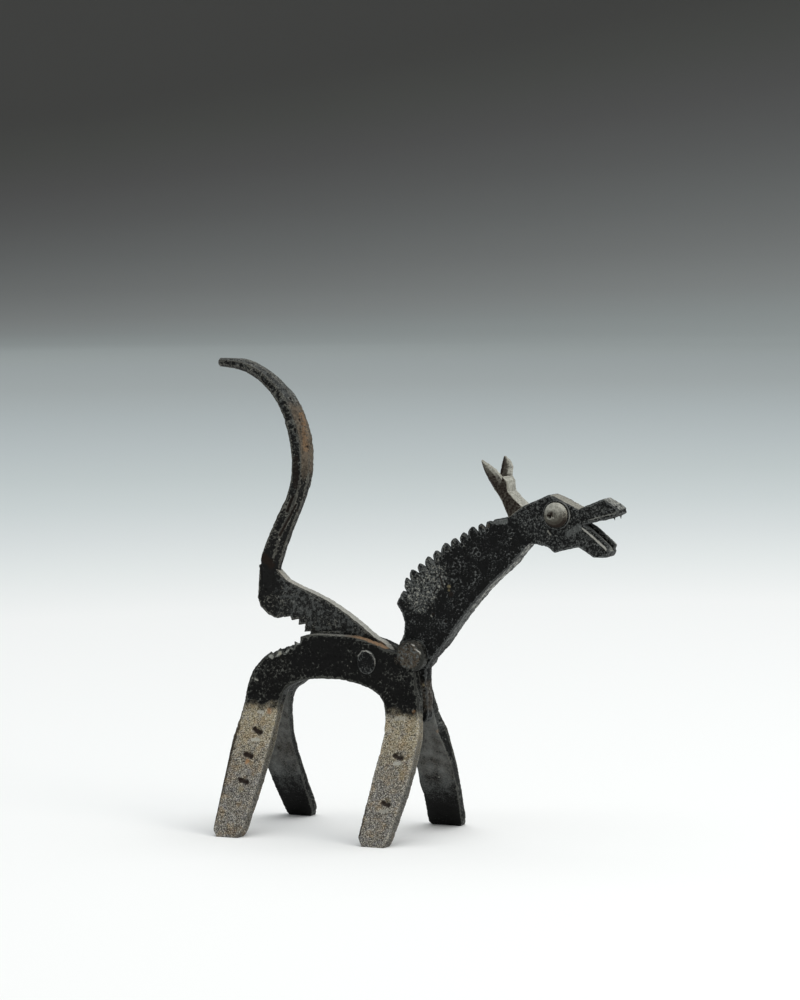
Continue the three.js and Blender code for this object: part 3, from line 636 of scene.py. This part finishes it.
forged_bar(
    side=1,
    seed=12,
    pulls=[
        (4, (-62, 7, 62, 1.5, 0), (-64, 7.5, 60, 1.8, 0), (-65, 8.1, 55.8, 1.5, 0),
         (-66.1, 10.4, 50.8, 0.6, 0), (-66.7, 13.5, 44.3, -0.4, 0), (-67.1, 18.2, 35.9, -1.6, 0),
         (-67, 22, 28.9, -1.5, 0), (-66.9, 25.7, 21.9, -0.9, 0), (-66.8, 30, 13.7, -0.5, 0),
         (-66.7, 34.3, 5.1, 0.8, 0), (-67, 37, 1, 0.3, 0)),
        (3, (-83, 22, 21.1, 0.9, 0), (-80.6, 27, 11.4, 1.2, 0), (-78.4, 32, 2.5, 1.2, 0)),
        (3.5, (4.4, 4, 72, 0.5, 0), (4.2, 6, 61, 0.5, 0), (4.5, 8.5, 56, 0.1, 0), (4.5, 8.5, 52.7, -1.2, 0),
         (5.7, 10.1, 48.3, -2.3, 0), (6.6, 11.2, 43.5, -2.8, 0), (6.9, 14.6, 37.9, -1.8, 0),
         (6.9, 18.8, 31.8, -0.5, 0), (6.9, 23, 23, 0.3, 0), (6.9, 34, 4, 0.35, 0)),
        (2.6, (-10.3, 26, 13, 0.8, 0), (-9.6, 30, 6, 1.1, 0), (-9.4, 33.5, 0.5, 1.1, 0)),
    ],
    marks=[],
    patchwork=left_patchwork,
)

# The toothed block fire-welded between the two bars at the haunch: five teeth filed across it and
# them, on which the nut lies. The filed floors between the teeth are a dull grey, partly filed metal
# and partly painted light from above.
block_iron = iron("soot_black_iron", soot="#080808", soot_light="#191a1a", glint_speck="#626463", rim_highlight="#2a2c2c")


def mottled(places, size, least=-0.15, most=0.45):
    """0 to 1 in uneven patches of that size."""
    return fade(clouds(places, size, 4), least, most)


crater_radii = (0.5 * MM, 1.2 * MM)
crater_depth = 0.18 * MM


def forged_piece(
    node, material, slot, seed, face_size, crater_count, patchwork, body="body", edge_passes=1, grown=0.2,
    pulls=(), marks=(), slant=None, **skin,
):
    """A piece of the forging with the usual hammered and pitted skin. Grown is how many millimetres its
    eased outline is made good by, or a function that gives that for each place."""
    piece = remade(node, face_size, edge_passes)
    places, outward = surface(piece.data)
    height = hammered_skin(places, **skin)
    craters(places, outward, height, random.Random(seed), crater_count, crater_radii, crater_depth)
    struck(places, height, marks)
    height += filled_out(outward, grown(places) if callable(grown) else grown)
    moved = drawn(places + outward * height[:, None], pulls)
    if slant:
        moved += slant(places)
    finish_piece(piece, moved, patchwork(places, outward), material, body, node)


def block_patchwork(places, outward):
    # Faces turned up are painted grey: partly filed metal, partly painted light from above.
    return {"ash_and_sheen": 0.35 * facing(outward, 0.4, 0, 0.9, 0.75, 0.95)}


forged_piece(
    "haunch_jaw_block", block_iron, "soot_black_iron", seed=21, face_size=0.35 * MM, crater_count=6,
    grown=0, patchwork=block_patchwork, dents=0,
)

# The lever: a thin toothed blade whose heel is drawn up into the tail. It is rubbed grey where it is
# held, with painted light on the faces there that turn forward and up and on the blade's top edge,
# brown with rust down the front of the tail, and black again at the heel.
lever_iron = iron("smoked_lever_iron", soot="#0b0b0b", soot_light="#1e1e1d", glint_speck="#696861", rim_highlight="#2c2b29")
tail_seams = (  # two folds that the forging left along the tail
    ((-56.9, -4.5, 143.7), (-59.3, -4.5, 137.2)), ((-56.5, -3.4, 140.2), (-63.2, -4.3, 126.7)),
)


def lever_patchwork(places, outward):
    x, _, z = (places / MM).T
    front = facing(outward, 0.9, 0, 0.35, 0.35, 0.75)
    above = facing(outward, 0.3, 0, 1, 0.5, 0.85)
    side = facing(outward, 0, -1, 0, 0.7, 0.95)
    on_tail = fade(z, 116, 121)
    # The top of the tail, rubbed grey where it is held; its faces turned forward and up carry painted light.
    held_and_lit = on_tail * fade(z, 176, 186)
    rusty = on_tail * fade(z, 146, 158) * fade(z, 188, 180)
    low_tail = on_tail * fade(z, 156, 148)
    # The blade's top edge, turned up, is painted pale: partly rubbed metal, partly painted light from above.
    lit_blade_top = facing(outward, 0.5, 0, 0.85, 0.6, 0.9) * fade(z, 114, 111)
    blade_side = side * (1 - on_tail)
    heel_line = patches(places, [((-66.5, -1.5, 111.4), (-55, 0, 104.6), 2, 1)])
    streaky = mottled(places * np.array([1, 1, 0.35]), 1.1 * MM)
    rough = mottled(places, 1.5 * MM)
    return {
        "ash_and_sheen": np.maximum.reduce([
            0.45 * held_and_lit * np.maximum(front, above) * (0.7 + 0.3 * rough),
            on_tail * side * (0.12 + 0.2 * rough) * fade(z, 118, 160),
            (0.22 + 0.2 * rough) * blade_side * fade(x, -76, -60),
            0.22 * (0.6 + 0.4 * streaky) * front * low_tail,
        ]),
        "umber": np.maximum(rusty * front * (0.5 + 0.3 * streaky), 0.2 * low_tail * front),
        "olive": np.maximum(
            0.2 * rusty * front * (1 - streaky), patches(places, [((-48.2, -2.5, 86.6), 2.5, 0.2)]),
        ),
        "rust": np.maximum(
            0.35 * lit_blade_top * heel_line,
            patches(places, [
                ((-16, -2.1, 82.6), 2, 0.5), ((-48.2, -2.5, 86.6), 1.5, 0.2),
                ((-55.8, -0.8, 178.7), (-52.6, -2.5, 164), 1.8, 0.36),
            ]),
        ),
        "pale": np.maximum(
            0.55 * lit_blade_top,
            patches(places, [
                ((-46.5, -2.5, 85.6), (-36.1, -2.5, 86.2), 0.4, 0.4),
                ((-66, -2.5, 110), (-45.6, -2.5, 99), 0.35, 0.35), ((-59.1, -1.8, 184.7), 0.5, 0.5),
                ((-78, -3, 197.6), 0.5, 0.6), ((-63.7, -3.9, 124.9), 0.5, 0.4),
            ]),
        ),
        "black": patches(places, [
            ((-55.5, -4.5, 160), (-55.6, -4.5, 148), 1.5, 0.6),
            ((-69.7, -3.8, 116.9), (-68.4, -3.6, 113.9), 2.2, 0.8),
            ((-56, -4.4, 172.5), 0.6, 0.8), ((-52, -1.8, 165.1), 0.6, 0.8),
            ((-51.9, -1.1, 154.8), 0.6, 0.8), ((-59.9, -2.1, 185.5), 0.6, 0.8),
            ((-55.5, -2.4, 176.7), 0.6, 0.8), ((-56.5, -1.9, 137.5), 0.7, 0.8),
            ((-62.6, -2.1, 123.7), 0.6, 0.7), *[(*seam, 0.6, 0.8) for seam in tail_seams],
        ]),
        "rubbed_and_highlight": 0.4 * lit_blade_top * fade(x, -70, -62),
        "smooth": patches(places, [((-71.5, -3.5, 117), (-69, -2.8, 105), 4.5, 0.9)]),
    }


def lever_grown(places):
    """The tail is made good all round, and the blade hardly at all, to keep clear of the haunch."""
    return 0.1 + 0.35 * fade(places[:, 2], 112 * MM, 118 * MM)


forged_piece(
    "tail_lever", lever_iron, "lever_iron", body="lever", seed=31, face_size=0.3 * MM, crater_count=60,
    grown=lever_grown,
    pulls=[
        (2.8, (-70.6, -4.5, 191.4, -1.1, -0.5), (-66.4, -4.5, 187.2, -1.4, -0.5),
         (-61.3, -4.5, 178.8, -1.5, 0), (-58.4, -4.5, 170.3, -1.7, 0), (-57.2, -4.5, 161.7, -1.4, 0),
         (-57.5, -4.5, 153.1, -1, 0), (-59.3, -4.5, 144.5, -1.2, 0), (-60.9, -4.5, 140.1, -1.9, 0),
         (-64.9, -4.5, 131.4, -2.5, 0), (-69, -4.5, 122.6, -2.6, 0), (-70.8, -4.5, 118.2, -2.9, 0),
         (-72.2, -4.5, 115.2, -2.6, 0)),
        (1, (-75.2, -4, 114.6, 1, -0.6), (-75.2, 4, 114.6, 1, -0.6)),
        (2.6, (-60.4, 1, 187.2, 0.6, 0.3), (-55, 1, 178.7, 0.9, 0), (-51.2, 1, 166, 0.85, 0),
         (-50.8, 1, 157.4, 0.8, 0), (-51.9, 1, 148.8, 0.6, 0)),
        (2.2, (-74.9, 0, 98.5, -0.9, 0), (-73.5, 0, 95.5, -1.1, -0.6), (-70.5, 0, 92.9, -0.9, -0.9)),
    ],
    marks=[
        *[(*seam, 0.9, 0.25) for seam in tail_seams],
        ((-56, -4.4, 172.5), (-55.8, -4.4, 171.6), 1, 0.3),
        ((-52, -1.8, 165.1), (-52, -1.6, 164.3), 1, 0.3),
        ((-59.9, -2.1, 185.5), (-59.6, -2.1, 185), 1, 0.3),
        ((-55.5, -2.4, 176.7), (-55.3, -2.4, 176), 1, 0.3),
    ],
    patchwork=lever_patchwork, dents=0.6, pits=0.7,
)

# Two rivets of round rod. The pivot rivet's oval heads are hammered nearly flush with the cheeks, and
# the shoulder rivet clamps the neck's tongue between them under a rough round head.


def pivot_patchwork(places, outward):
    face = -8.3  # y of its outer side
    # A painted highlight along the upper edge of the head.
    highlight_arc = streaks(pivot_highlight_arc[:4], face, 0.35, 0.8) + streaks(pivot_highlight_arc[3:], face, 0.3, 0.45)
    return {"rubbed_and_highlight": patches(places, highlight_arc)}


forged_piece(
    "pivot_rivet", block_iron, "soot_black_iron", seed=41, face_size=0.25 * MM, edge_passes=2,
    crater_count=4, patchwork=pivot_patchwork, dents=0.2, pits=0.5, scale=0.5,
)


def shoulder_patchwork(places, outward):
    # A painted highlight along the top right edge of the head.
    highlight_arc = patches(places, [
        ((-5, -8.2, 83.4), (-0.2, -8.4, 83.7), 0.45, 1), ((-0.2, -8.4, 83.7), (1.7, -8.6, 82.7), 0.45, 1),
        ((2.2, -9, 81.3), (3.8, -8.6, 80.3), 0.45, 1), ((3.8, -8.6, 80.3), (5.4, -8, 78.4), 0.45, 1),
    ])
    rough = mottled(places, 1.3 * MM)
    rounded = facing(outward, 0, -1, 0, 0.5, 0.95)
    return {
        "ash_and_sheen": rounded * (0.12 + 0.4 * rough),
        "umber": rounded * (0.2 + 0.3 * (1 - rough)),
        "rubbed_and_highlight": 0.7 * highlight_arc,
    }


forged_piece(
    "shoulder_rivet", leg_iron, "scaled_leg_iron", seed=42, face_size=0.3 * MM, edge_passes=9,
    crater_count=24, patchwork=shoulder_patchwork, dents=1.6, scale=2.2,
)

# The neck: a thick flat bar with its mane chiselled along the back, shouldered to a tongue below. Its
# narrow front face is worn to grey metal in part and carries a painted reflection of the bright floor,
# the tops of the mane's teeth carry painted light from above, and the mane's roots are mottled with ash.
mane_cuts = (  # x and z of their outer ends
    (-5, 105.9), (-2.3, 110.1), (1, 114.2), (4.5, 116.7), (8.2, 119.4), (11.8, 122.5), (16.1, 125.7),
    (20.5, 127.9), (24.2, 130.4), (28.8, 133), (32.4, 134.8),
)
mane_centre = (75, 54)  # every tooth points away from here
mane_cut_length = 2.2
mane_cut_width = 1.2
mane_cut_depth = 0.45  # into the flat side
mane_cut_sink = 1.6  # into the back
mane_cut_slant = 0.4  # how far it runs back for its length across the neck
neck_side = 4.5  # from the middle plane

# Here the head is welded on, and the seam is hammered smooth.
head_line = [
    ((43.2, -4.5, 140.6), (45, -4.5, 137.7), 2, 0.9), ((45, -4.5, 137.7), (52.5, -4.5, 127.5), 2, 0.9),
]


def neck_patchwork(places, outward):
    x, y, z = (places / MM).T
    side = facing(outward, 0, -1, 0, 0.5, 0.8)
    # The narrow front face: partly worn grey metal, partly a painted reflection of the bright floor.
    worn_chest_sheen = facing(outward, 0.75, 0, -0.66, 0.6, 0.85) * fade(y, -4.1, -2.8)
    # Painted light: the tops of the mane's teeth, turned up, are painted grey.
    lit_mane_tops = facing(outward, -0.5, 0, 0.85, 0.3, 0.8)
    mane_line = np.minimum(
        from_line(places, (-5, -4.5, 104), (12, -4.5, 125)),
        from_line(places, (12, -4.5, 125), (36, -4.5, 137)),
    )
    near_mane = fade(mane_line, 6, 1.5) * fade(x, 40, 12)
    ash_field = patches(places, [
        ((1.5, -4.5, 103), (9, -4.5, 112), 8.5, 1), ((-1, -4.5, 107), (2, -4.5, 100), 6, 1),
    ])
    rough = mottled(places, 0.9 * MM, -0.4, 0.6)
    fine = mottled(places + 30 * MM, 0.7 * MM, 0.05, 0.4)
    streaky = mottled(places * np.array([0.3, 1, 0.3]), 0.8 * MM)
    tongue = fade(z, 70, 66) * fade(z, 50, 56)
    return {
        "ash_and_sheen": np.maximum.reduce([
            side * np.maximum(ash_field * (0.22 + 0.3 * rough), near_mane * (0.12 + 0.3 * rough)),
            0.12 * side * rough * fade(z, 86, 96), 0.6 * lit_mane_tops * (0.4 + 0.6 * rough),
            worn_chest_sheen * (0.3 + 0.35 * streaky) * fade(z, 72, 90),
            0.3 * tongue * rough, patches(places, [((36.7, -4.5, 136.4), (42, -4.5, 137), 1.6, 0.5)]),
        ]),
        "umber": np.maximum(
            0.35 * tongue, patches(places, [((31.2, -4.5, 134.6), (34, -4.5, 134.9), 1.2, 0.4)]),
        ),
        "olive": patches(places, [
            ((15.9, -4.5, 108.3), 1.2, 0.6), ((15.9, -4.5, 106.6), 0.8, 0.5), ((3.2, -2.8, 65.4), 1, 0.5),
        ]),
        "pale": np.maximum.reduce([
            worn_chest_sheen * (0.15 + 0.3 * streaky) * fade(z, 92, 100), 0.6 * side * ash_field * fine,
            0.45 * side * near_mane * fine,
            patches(places, [
                ((9, -4.5, 103.4), 0.7, 0.5), ((11.3, -4.5, 108.1), 0.7, 0.5), ((9, -4.5, 110.2), 0.5, 0.5),
                ((5.7, -4.5, 107.5), 0.5, 0.5), ((9, -4.5, 114), 0.5, 0.5),
                ((7.4, -4.5, 95.6), (8, -4.5, 94.9), 0.4, 0.5), ((22.8, -4.5, 125.8), 0.5, 0.4),
                ((44.6, -4.5, 129.8), 0.5, 0.4),
            ]),
        ]),
        "smooth": patches(places, head_line),
        "black": patches(places, [
            ((16.9, -4.5, 105), 1.5, 0.6), ((8.6, -4.5, 96), 0.9, 0.7), ((14.4, -4.5, 93.2), 0.7, 0.7),
            ((11.4, -4.5, 113), (13.2, -4.5, 108), 0.6, 0.7),
            ((8.6, -4.5, 105), (10.4, -4.5, 107.4), 0.5, 0.7), ((3.5, -2.8, 63), (3.9, -2.8, 63), 0.6, 0.8),
        ]),
        "rubbed_and_highlight": worn_chest_sheen * (0.1 + 0.3 * streaky) * fade(z, 94, 104),
    }


def mane_slant(places):
    """The chisel was held aslant, so that a cut runs further back the deeper it goes into the neck."""
    x, y, z = (places / MM).T
    inward = np.stack([mane_centre[0] - x, mane_centre[1] - z], axis=1)
    inward /= np.linalg.norm(inward, axis=1)[:, None]
    below = np.interp(x, *zip(*mane_cuts)) - z  # the cuts' outer ends
    slide = mane_cut_slant * (y + neck_side) * fade(below, 6, 1) * fade(z, 101, 108) * fade(x, 38, 33) * MM
    return np.stack([slide * inward[:, 1], 0 * slide, -slide * inward[:, 0]], axis=1)


mane_marks, mane_pulls = [], []
for x, z in mane_cuts:
    way = np.array([mane_centre[0] - x, mane_centre[1] - z], float)
    way /= np.linalg.norm(way)
    end_x, end_z = np.array([x, z]) + mane_cut_length * way
    for y in (-neck_side, neck_side):
        mane_marks.append(((x, y, z), (end_x, y, end_z), mane_cut_width, mane_cut_depth))
    sink_x, sink_z = mane_cut_sink * way
    mane_pulls.append((1.0, (x, -neck_side, z, sink_x, sink_z), (x, neck_side, z, sink_x, sink_z)))

forged_piece(
    "neck", block_iron, "soot_black_iron", seed=51, face_size=0.28 * MM, crater_count=110, grown=0.25,
    pulls=mane_pulls + [
        (2.5, (-8.4, 0, 99.8, -0.2, 0), (-6, 0, 96, -0.5, 0), (-4.6, 0, 92, -0.7, 0), (-5.1, 0, 87, -0.7, 0)),
        (2.5, (4.2, 1, 72, 0.6, 0), (3.9, 1, 67, 0.7, 0), (4.5, 1, 60.7, 0.6, 0)),
    ],
    marks=mane_marks + [
        ((11.4, -4.5, 113), (13.2, -4.5, 108), 1, 0.3), ((8.6, -4.5, 105), (10.4, -4.5, 107.4), 0.9, 0.3),
        ((8.6, -4.5, 95.8), (8.4, -4.5, 95.2), 1.8, 0.35), ((14.4, -4.5, 93.2), (14.2, -4.5, 93.2), 1.4, 0.3),
        ((23.5, 2.5, 97.4), (23.5, -4.5, 97.8), 0.8, 0.3), ((51, 2.5, 126.4), (51, -4.5, 126.4), 0.9, 0.35),
        ((3.5, -2.8, 63), (3.9, -2.8, 63), 1.2, 0.4),
    ],
    slant=mane_slant, patchwork=neck_patchwork, scale=1.3,
)

# The head: the bar split and opened into jaws, with a groove down the lower one, and two nostrils. Its
# forehead and the top of its nose are filed bright and carry painted light from above, and the edges of
# the lower jaw carry painted highlights.


def head_patchwork(places, outward):
    x, _, z = (places / MM).T
    # The forehead's filed facet, turned up, has its own tan tint and is painted paler by painted light from
    # above.
    lit_forehead = facing(outward, 0.4, 0, 0.9, 0.7, 0.9)
    lit_forehead *= fade(x, 61, 63) * fade(x, 79, 77) * fade(z, 140, 142)
    # The top of the nose, turned up, is painted lighter: partly filed metal, partly painted light from above.
    lit_nose_top = facing(outward, 0.45, 0, 0.87, 0.6, 0.85) * fade(x, 83, 85)
    side = facing(outward, 0, -1, 0, 0.5, 0.8)
    # Painted highlights along the edges of the lower jaw.
    jaw_edge_highlights = patches(places, [
        ((77.5, -4.5, 135.4), (88.4, -4.5, 126.8), 0.5, 1), ((79.6, 4.3, 134.9), (88.8, 4.3, 127.1), 1.2, 1),
    ])
    cheek = patches(places, [((70.7, -4.5, 132.8), (76.1, -4.5, 136), 2.2, 1)])
    upper_lip = patches(places, [((80.5, -4.5, 139.2), (93, -4.5, 142.8), 0.4, 1)])
    jaw_floor = facing(outward, 0.6, 0, 0.8, 0.5, 0.9) * fade(x, 78, 80) * fade(z, 138, 135)
    rough = mottled(places, 0.8 * MM, -0.4, 0.6)
    fine = mottled(places + 30 * MM, 0.6 * MM, 0.05, 0.4)
    return {
        "smooth": patches(places, head_line),
        "ash_and_sheen": np.maximum.reduce([
            0.45 * cheek, lit_nose_top * (0.35 + 0.3 * rough), 0.3 * jaw_floor, side * (0.12 + 0.28 * rough),
            0.4 * upper_lip, patches(places, [((76.1, -4.5, 132.6), (82.9, -4.5, 131.2), 1.5, 0.3)]),
        ]),
        "umber": lit_forehead * (0.38 + 0.15 * rough),
        "olive": 0.3 * lit_forehead * (1 - rough),
        "pale": np.maximum.reduce([
            lit_forehead * (0.45 + 0.15 * fine), 0.85 * jaw_edge_highlights, lit_nose_top * (0.25 + 0.4 * fine),
            0.35 * side * fine * rough, 0.35 * upper_lip,
            patches(places, [
                ((62.6, -4.5, 132.4), (61.4, -4.5, 133.6), 0.6, 0.5), ((55.5, -4.5, 137), 0.9, 0.25),
            ]),
        ]),
        "black": patches(places, [((88.2, -2, 146.9), 0.7, 0.9), ((89.3, 1.2, 146.3), 0.7, 0.9)]),
        "rubbed_and_highlight": np.maximum(0.7 * jaw_edge_highlights, 0.1 * lit_forehead),
    }


forged_piece(
    "head", block_iron, "soot_black_iron", seed=61, face_size=0.24 * MM, edge_passes=2,
    crater_count=45, grown=0.25,
    pulls=[
        (1.5, (94.2, -4, 142.8, -0.6, 0), (94.2, 4, 142.8, -0.6, 0)),
        (1.6, (78.9, -4.5, 136.8, -1.3, 0.2), (78.9, 4.5, 136.8, -1.3, 0.2)),
        (1.3, (81, -4.5, 135, 0, 0.2), (88, -4.5, 129, 0, 0.4)),
        (1.5, (89.8, -4, 126.5, -1.1, 0), (89.8, 4, 126.5, -1.1, 0)),
        (1.8, (83, -4.5, 123.4, 0, -0.3), (76, -4.5, 127.6, 0, -0.3)),
        (1.8, (55.7, -4.5, 128.4, 0, -0.3), (64.5, -4.5, 125, 0, -0.3)),
    ],
    patchwork=head_patchwork, dents=0.6, pits=0.8, scale=1.1,
)

# The horns: a stem forked into two leaf-shaped prongs. Handling has rubbed them grey, their faces turned
# to the light carry painted light, their undersides carry painted shade, and the sides of the stem are
# still black.
rubbed_iron = iron(
    "handled_grey_iron", soot="#3c3a34", soot_light="#67645b", glint_speck="#8f8c80", rim_highlight="#8b887d", rough=0.5,
)


def horn_patchwork(places, outward):
    # Painted light on the faces turned up and to the right, and painted shade on the faces turned down and
    # away.
    upper = facing(outward, 1, -0.2, 0.4, 0.3, 0.75)
    under = facing(outward, -1, -0.45, -0.1, 0.2, 0.65)
    stem_side = facing(outward, 0, -1, 0, 0.5, 0.85) * fade(places[:, 2] / MM, 161, 155)
    rough = mottled(places, 0.9 * MM, -0.3, 0.5)
    groove = patches(places, [((37, 2.6, 155.9), (41.4, 4.6, 155.3), 0.5, 0.9)])
    return {
        "ash_and_sheen": 0.2 * rough,
        "pale": upper * (0.55 + 0.35 * rough),
        "umber": 0.15 * upper,
        "black": np.maximum.reduce([
            # painted shade below, the stem's black sides, the groove, and painted shade in patches away from
            # the light
            under * (0.9 + 0.1 * rough), stem_side * (0.55 + 0.4 * rough), groove, 0.35 * (1 - upper) * rough,
        ]),
        "rubbed_and_highlight": 0.15 * upper * rough,
    }


forged_piece(
    "horns", rubbed_iron, "rubbed_iron", seed=71, face_size=0.2 * MM, edge_passes=2, crater_count=14,
    pulls=[
        (3, (33.8, -12.5, 163.5, -0.6, 0), (35.7, -9.4, 159.4, -0.8, 0), (36.9, -5.9, 154.1, -0.9, 0),
         (38.3, -4.5, 150, -0.6, 0)),
        (3, (35.4, 10.4, 163, 0.5, 0), (37.1, 6.1, 159.2, 1, 0), (38.8, 3.6, 156.6, 0.6, 0)),
        (1.5, (36.6, 9.5, 162.2, 0.9, 0), (38.4, 7, 159.6, 1.3, 0), (40, 4.4, 156.9, 0.7, 0)),
        (1.6, (43.2, 0, 151.5, 0.5, 0), (44.2, 0, 148.2, 0.5, 0)),
    ],
    marks=[
        ((37, 2.6, 155.9), (41.4, 4.6, 155.3), 0.8, 0.35),
        ((38.2, -6.4, 151.8), (37.6, -4.6, 150.4), 0.9, 0.4),
    ],
    patchwork=horn_patchwork, dents=0.4, pits=0.6, scale=0.9,
)

# The eyes: the two domed ends of one rivet, each closed over a thin ring and marked with a punch.


def eye_patchwork(places, outward):
    # Painted light on the crown of the dome and painted shade beneath it.
    lit_crown = facing(outward, -0.1, -0.35, 0.95, 0.0, 0.7)
    under = facing(outward, 0.3, -0.2, -0.95, 0.0, 0.8)
    rough = mottled(places, 1.2 * MM)
    pupil = patches(places, [((64.3, -7, 141.1), 2, 1), ((62.6, -6.4, 141.9), 0.8, 0.8)])
    # A painted highlight in a crescent below and right of the pupil.
    crescent_highlight = patches(places, [
        ((63.9, -7.3, 139.8), (65.3, -7.5, 139.7), 0.6, 1),
        ((65.3, -7.5, 139.7), (65.8, -7.5, 140.6), 0.45, 0.9),
    ])
    return {
        "ash_and_sheen": 0.2 * lit_crown,
        "pale": np.maximum(lit_crown * (0.6 + 0.2 * rough), crescent_highlight),
        "umber": 0.1 + 0.2 * rough,
        "black": np.maximum(pupil, 0.85 * under),
    }


forged_piece(
    "eye_rivet", rubbed_iron, "rubbed_iron", seed=81, face_size=0.2 * MM, edge_passes=2,
    crater_count=6, marks=[((64.3, -7, 140.9), (64.5, -7, 140.8), 1.8, 0.3)],
    patchwork=eye_patchwork, dents=0.1, pits=0.3, scale=0.4,
)


def ring_patchwork(places, outward):
    lit = facing(outward, 1, -0.3, 0.3, 0.3, 0.8)
    return {"ash_and_sheen": 0.2 + 0.3 * lit, "pale": 0.5 * lit, "umber": np.full(len(places), 0.2)}


for ring_node in ("right_eye_ring", "left_eye_ring"):
    forged_piece(
        ring_node, block_iron, "soot_black_iron", seed=82, face_size=0.2 * MM, crater_count=0,
        patchwork=ring_patchwork, dents=0, pits=0.2, scale=0.3,
    )

# The studio: a pale seamless sweep that curves up all round, with painted shade that darkens it towards
# its top for the light's falloff, under one large soft light high above, with a softer one from the
# beast's front.
sweep_hole = 0.01  # closed after the spin
sweep_radius = 3.2
sweep_curve = 0.9
sweep_steps = 16
sweep_turns = 96
sweep = bmesh.new()
profile = [Vector((sweep_hole, 0, 0)), Vector((1.0, 0, 0)), Vector((sweep_radius, 0, 0))]
for step in range(1, sweep_steps + 1):
    turn = math.pi / 2 * step / sweep_steps
    profile.append(Vector((
        sweep_radius + sweep_curve * math.sin(turn), 0, sweep_curve * (1 - math.cos(turn)),
    )))
line = [sweep.verts.new(p) for p in profile]
edges = [sweep.edges.new(pair) for pair in zip(line, line[1:])]
bmesh.ops.spin(
    sweep, geom=line + edges, cent=(0, 0, 0), axis=(0, 0, 1), angle=2 * math.pi, steps=sweep_turns,
    use_merge=True,
)
hole_edges = [e for e in sweep.edges if e.is_boundary and e.verts[0].co.z < sweep_curve / 2]
bmesh.ops.holes_fill(sweep, edges=hole_edges, sides=0)
bmesh.ops.recalc_face_normals(sweep, faces=sweep.faces)
for face in sweep.faces:
    face.smooth = True
sweep_mesh = bpy.data.meshes.new("sweep")
sweep.to_mesh(sweep_mesh)
sweep.free()
paper = bpy.data.materials.new("backdrop_paper_with_painted_falloff")
paper.use_nodes = True
tree = paper.node_tree
tree.nodes.clear()
where = add(tree, "TexCoord").outputs["Object"]
# Painted shade: the paper's colour darkens with distance from the object, for the light's falloff.
away = add(tree, "VectorMath", {0: where}, operation="LENGTH").outputs["Value"]
ramp_reach = 4.4  # metres from the object, where the graduation would end
shade_way = (-0.18, -0.08, 0)  # the paper is a little darker behind the tail than in front of the head
aside = add(tree, "VectorMath", {0: where, 1: shade_way}, operation="DOT_PRODUCT").outputs["Value"]
shaded = add(tree, "Math", {0: away, 1: aside}, operation="ADD").outputs[0]
tone = add(tree, "MapRange", {"Value": shaded, "From Max": ramp_reach}).outputs[0]
ramp = add(tree, "ValToRGB", {"Fac": tone})
ramp.color_ramp.elements.remove(ramp.color_ramp.elements[1])
ramp.color_ramp.elements[0].color = linear("#f5f5f4")
graduation = (  # metres from the object, and the paper's colour there
    (0.90, "#f5f5f4"), (1.15, "#eaedec"), (1.34, "#e2e6e6"), (1.55, "#dae0e0"), (1.79, "#d4dbdb"),
    (2.03, "#d1d8d9"), (2.33, "#ced5d6"), (2.67, "#cbd1d1"), (2.95, "#cdd3d3"), (3.06, "#cdd3d2"),
    (3.18, "#cad0cf"), (3.322, "#b9bebd"), (3.423, "#a8aaa9"), (3.521, "#959695"), (3.60, "#868786"),
    (3.68, "#767675"), (3.749, "#696867"), (3.809, "#5f5f5c"), (3.859, "#585755"),
)
for reach, tint in graduation:
    ramp.color_ramp.elements.new(reach / ramp_reach).color = linear(tint)
matt = add(tree, "BsdfPrincipled", {
    "Base Color": ramp.outputs["Color"], "Roughness": 0.9, "Specular IOR Level": 0.2,
})
add(tree, "OutputMaterial", {"Surface": matt.outputs["BSDF"]})
sweep_mesh.materials.append(paper)
floor = bpy.data.objects.new("sweep", sweep_mesh)
bpy.context.scene.collection.objects.link(floor)


object_middle = Vector((0, 0, 0.1))


def soft_light(name, place, size, power, colour):
    """A square softbox that faces the middle of the object."""
    lamp = bpy.data.lights.new(name, "AREA")
    lamp.shape = "SQUARE"
    lamp.size = size
    lamp.energy = power
    lamp.color = linear(colour)[:3]
    holder = bpy.data.objects.new(name, lamp)
    holder.location = place
    holder.rotation_mode = "QUATERNION"
    holder.rotation_quaternion = (object_middle - Vector(place)).to_track_quat("-Z", "Y")
    bpy.context.scene.collection.objects.link(holder)


soft_light("overhead_softbox", place=(0.3, 0.2, 2.6), size=3.8, power=92, colour="#ffffff")
soft_light("front_softbox", place=(1.7, -0.5, 1.0), size=1.0, power=8, colour="#fffaf2")
world = bpy.data.worlds.new("studio")
world.use_nodes = True
room = world.node_tree.nodes["Background"]
room.inputs["Color"].default_value = linear("#8f9698")
room.inputs["Strength"].default_value = 0.8
bpy.context.scene.world = world
bpy.context.scene.view_settings.view_transform = "Standard"
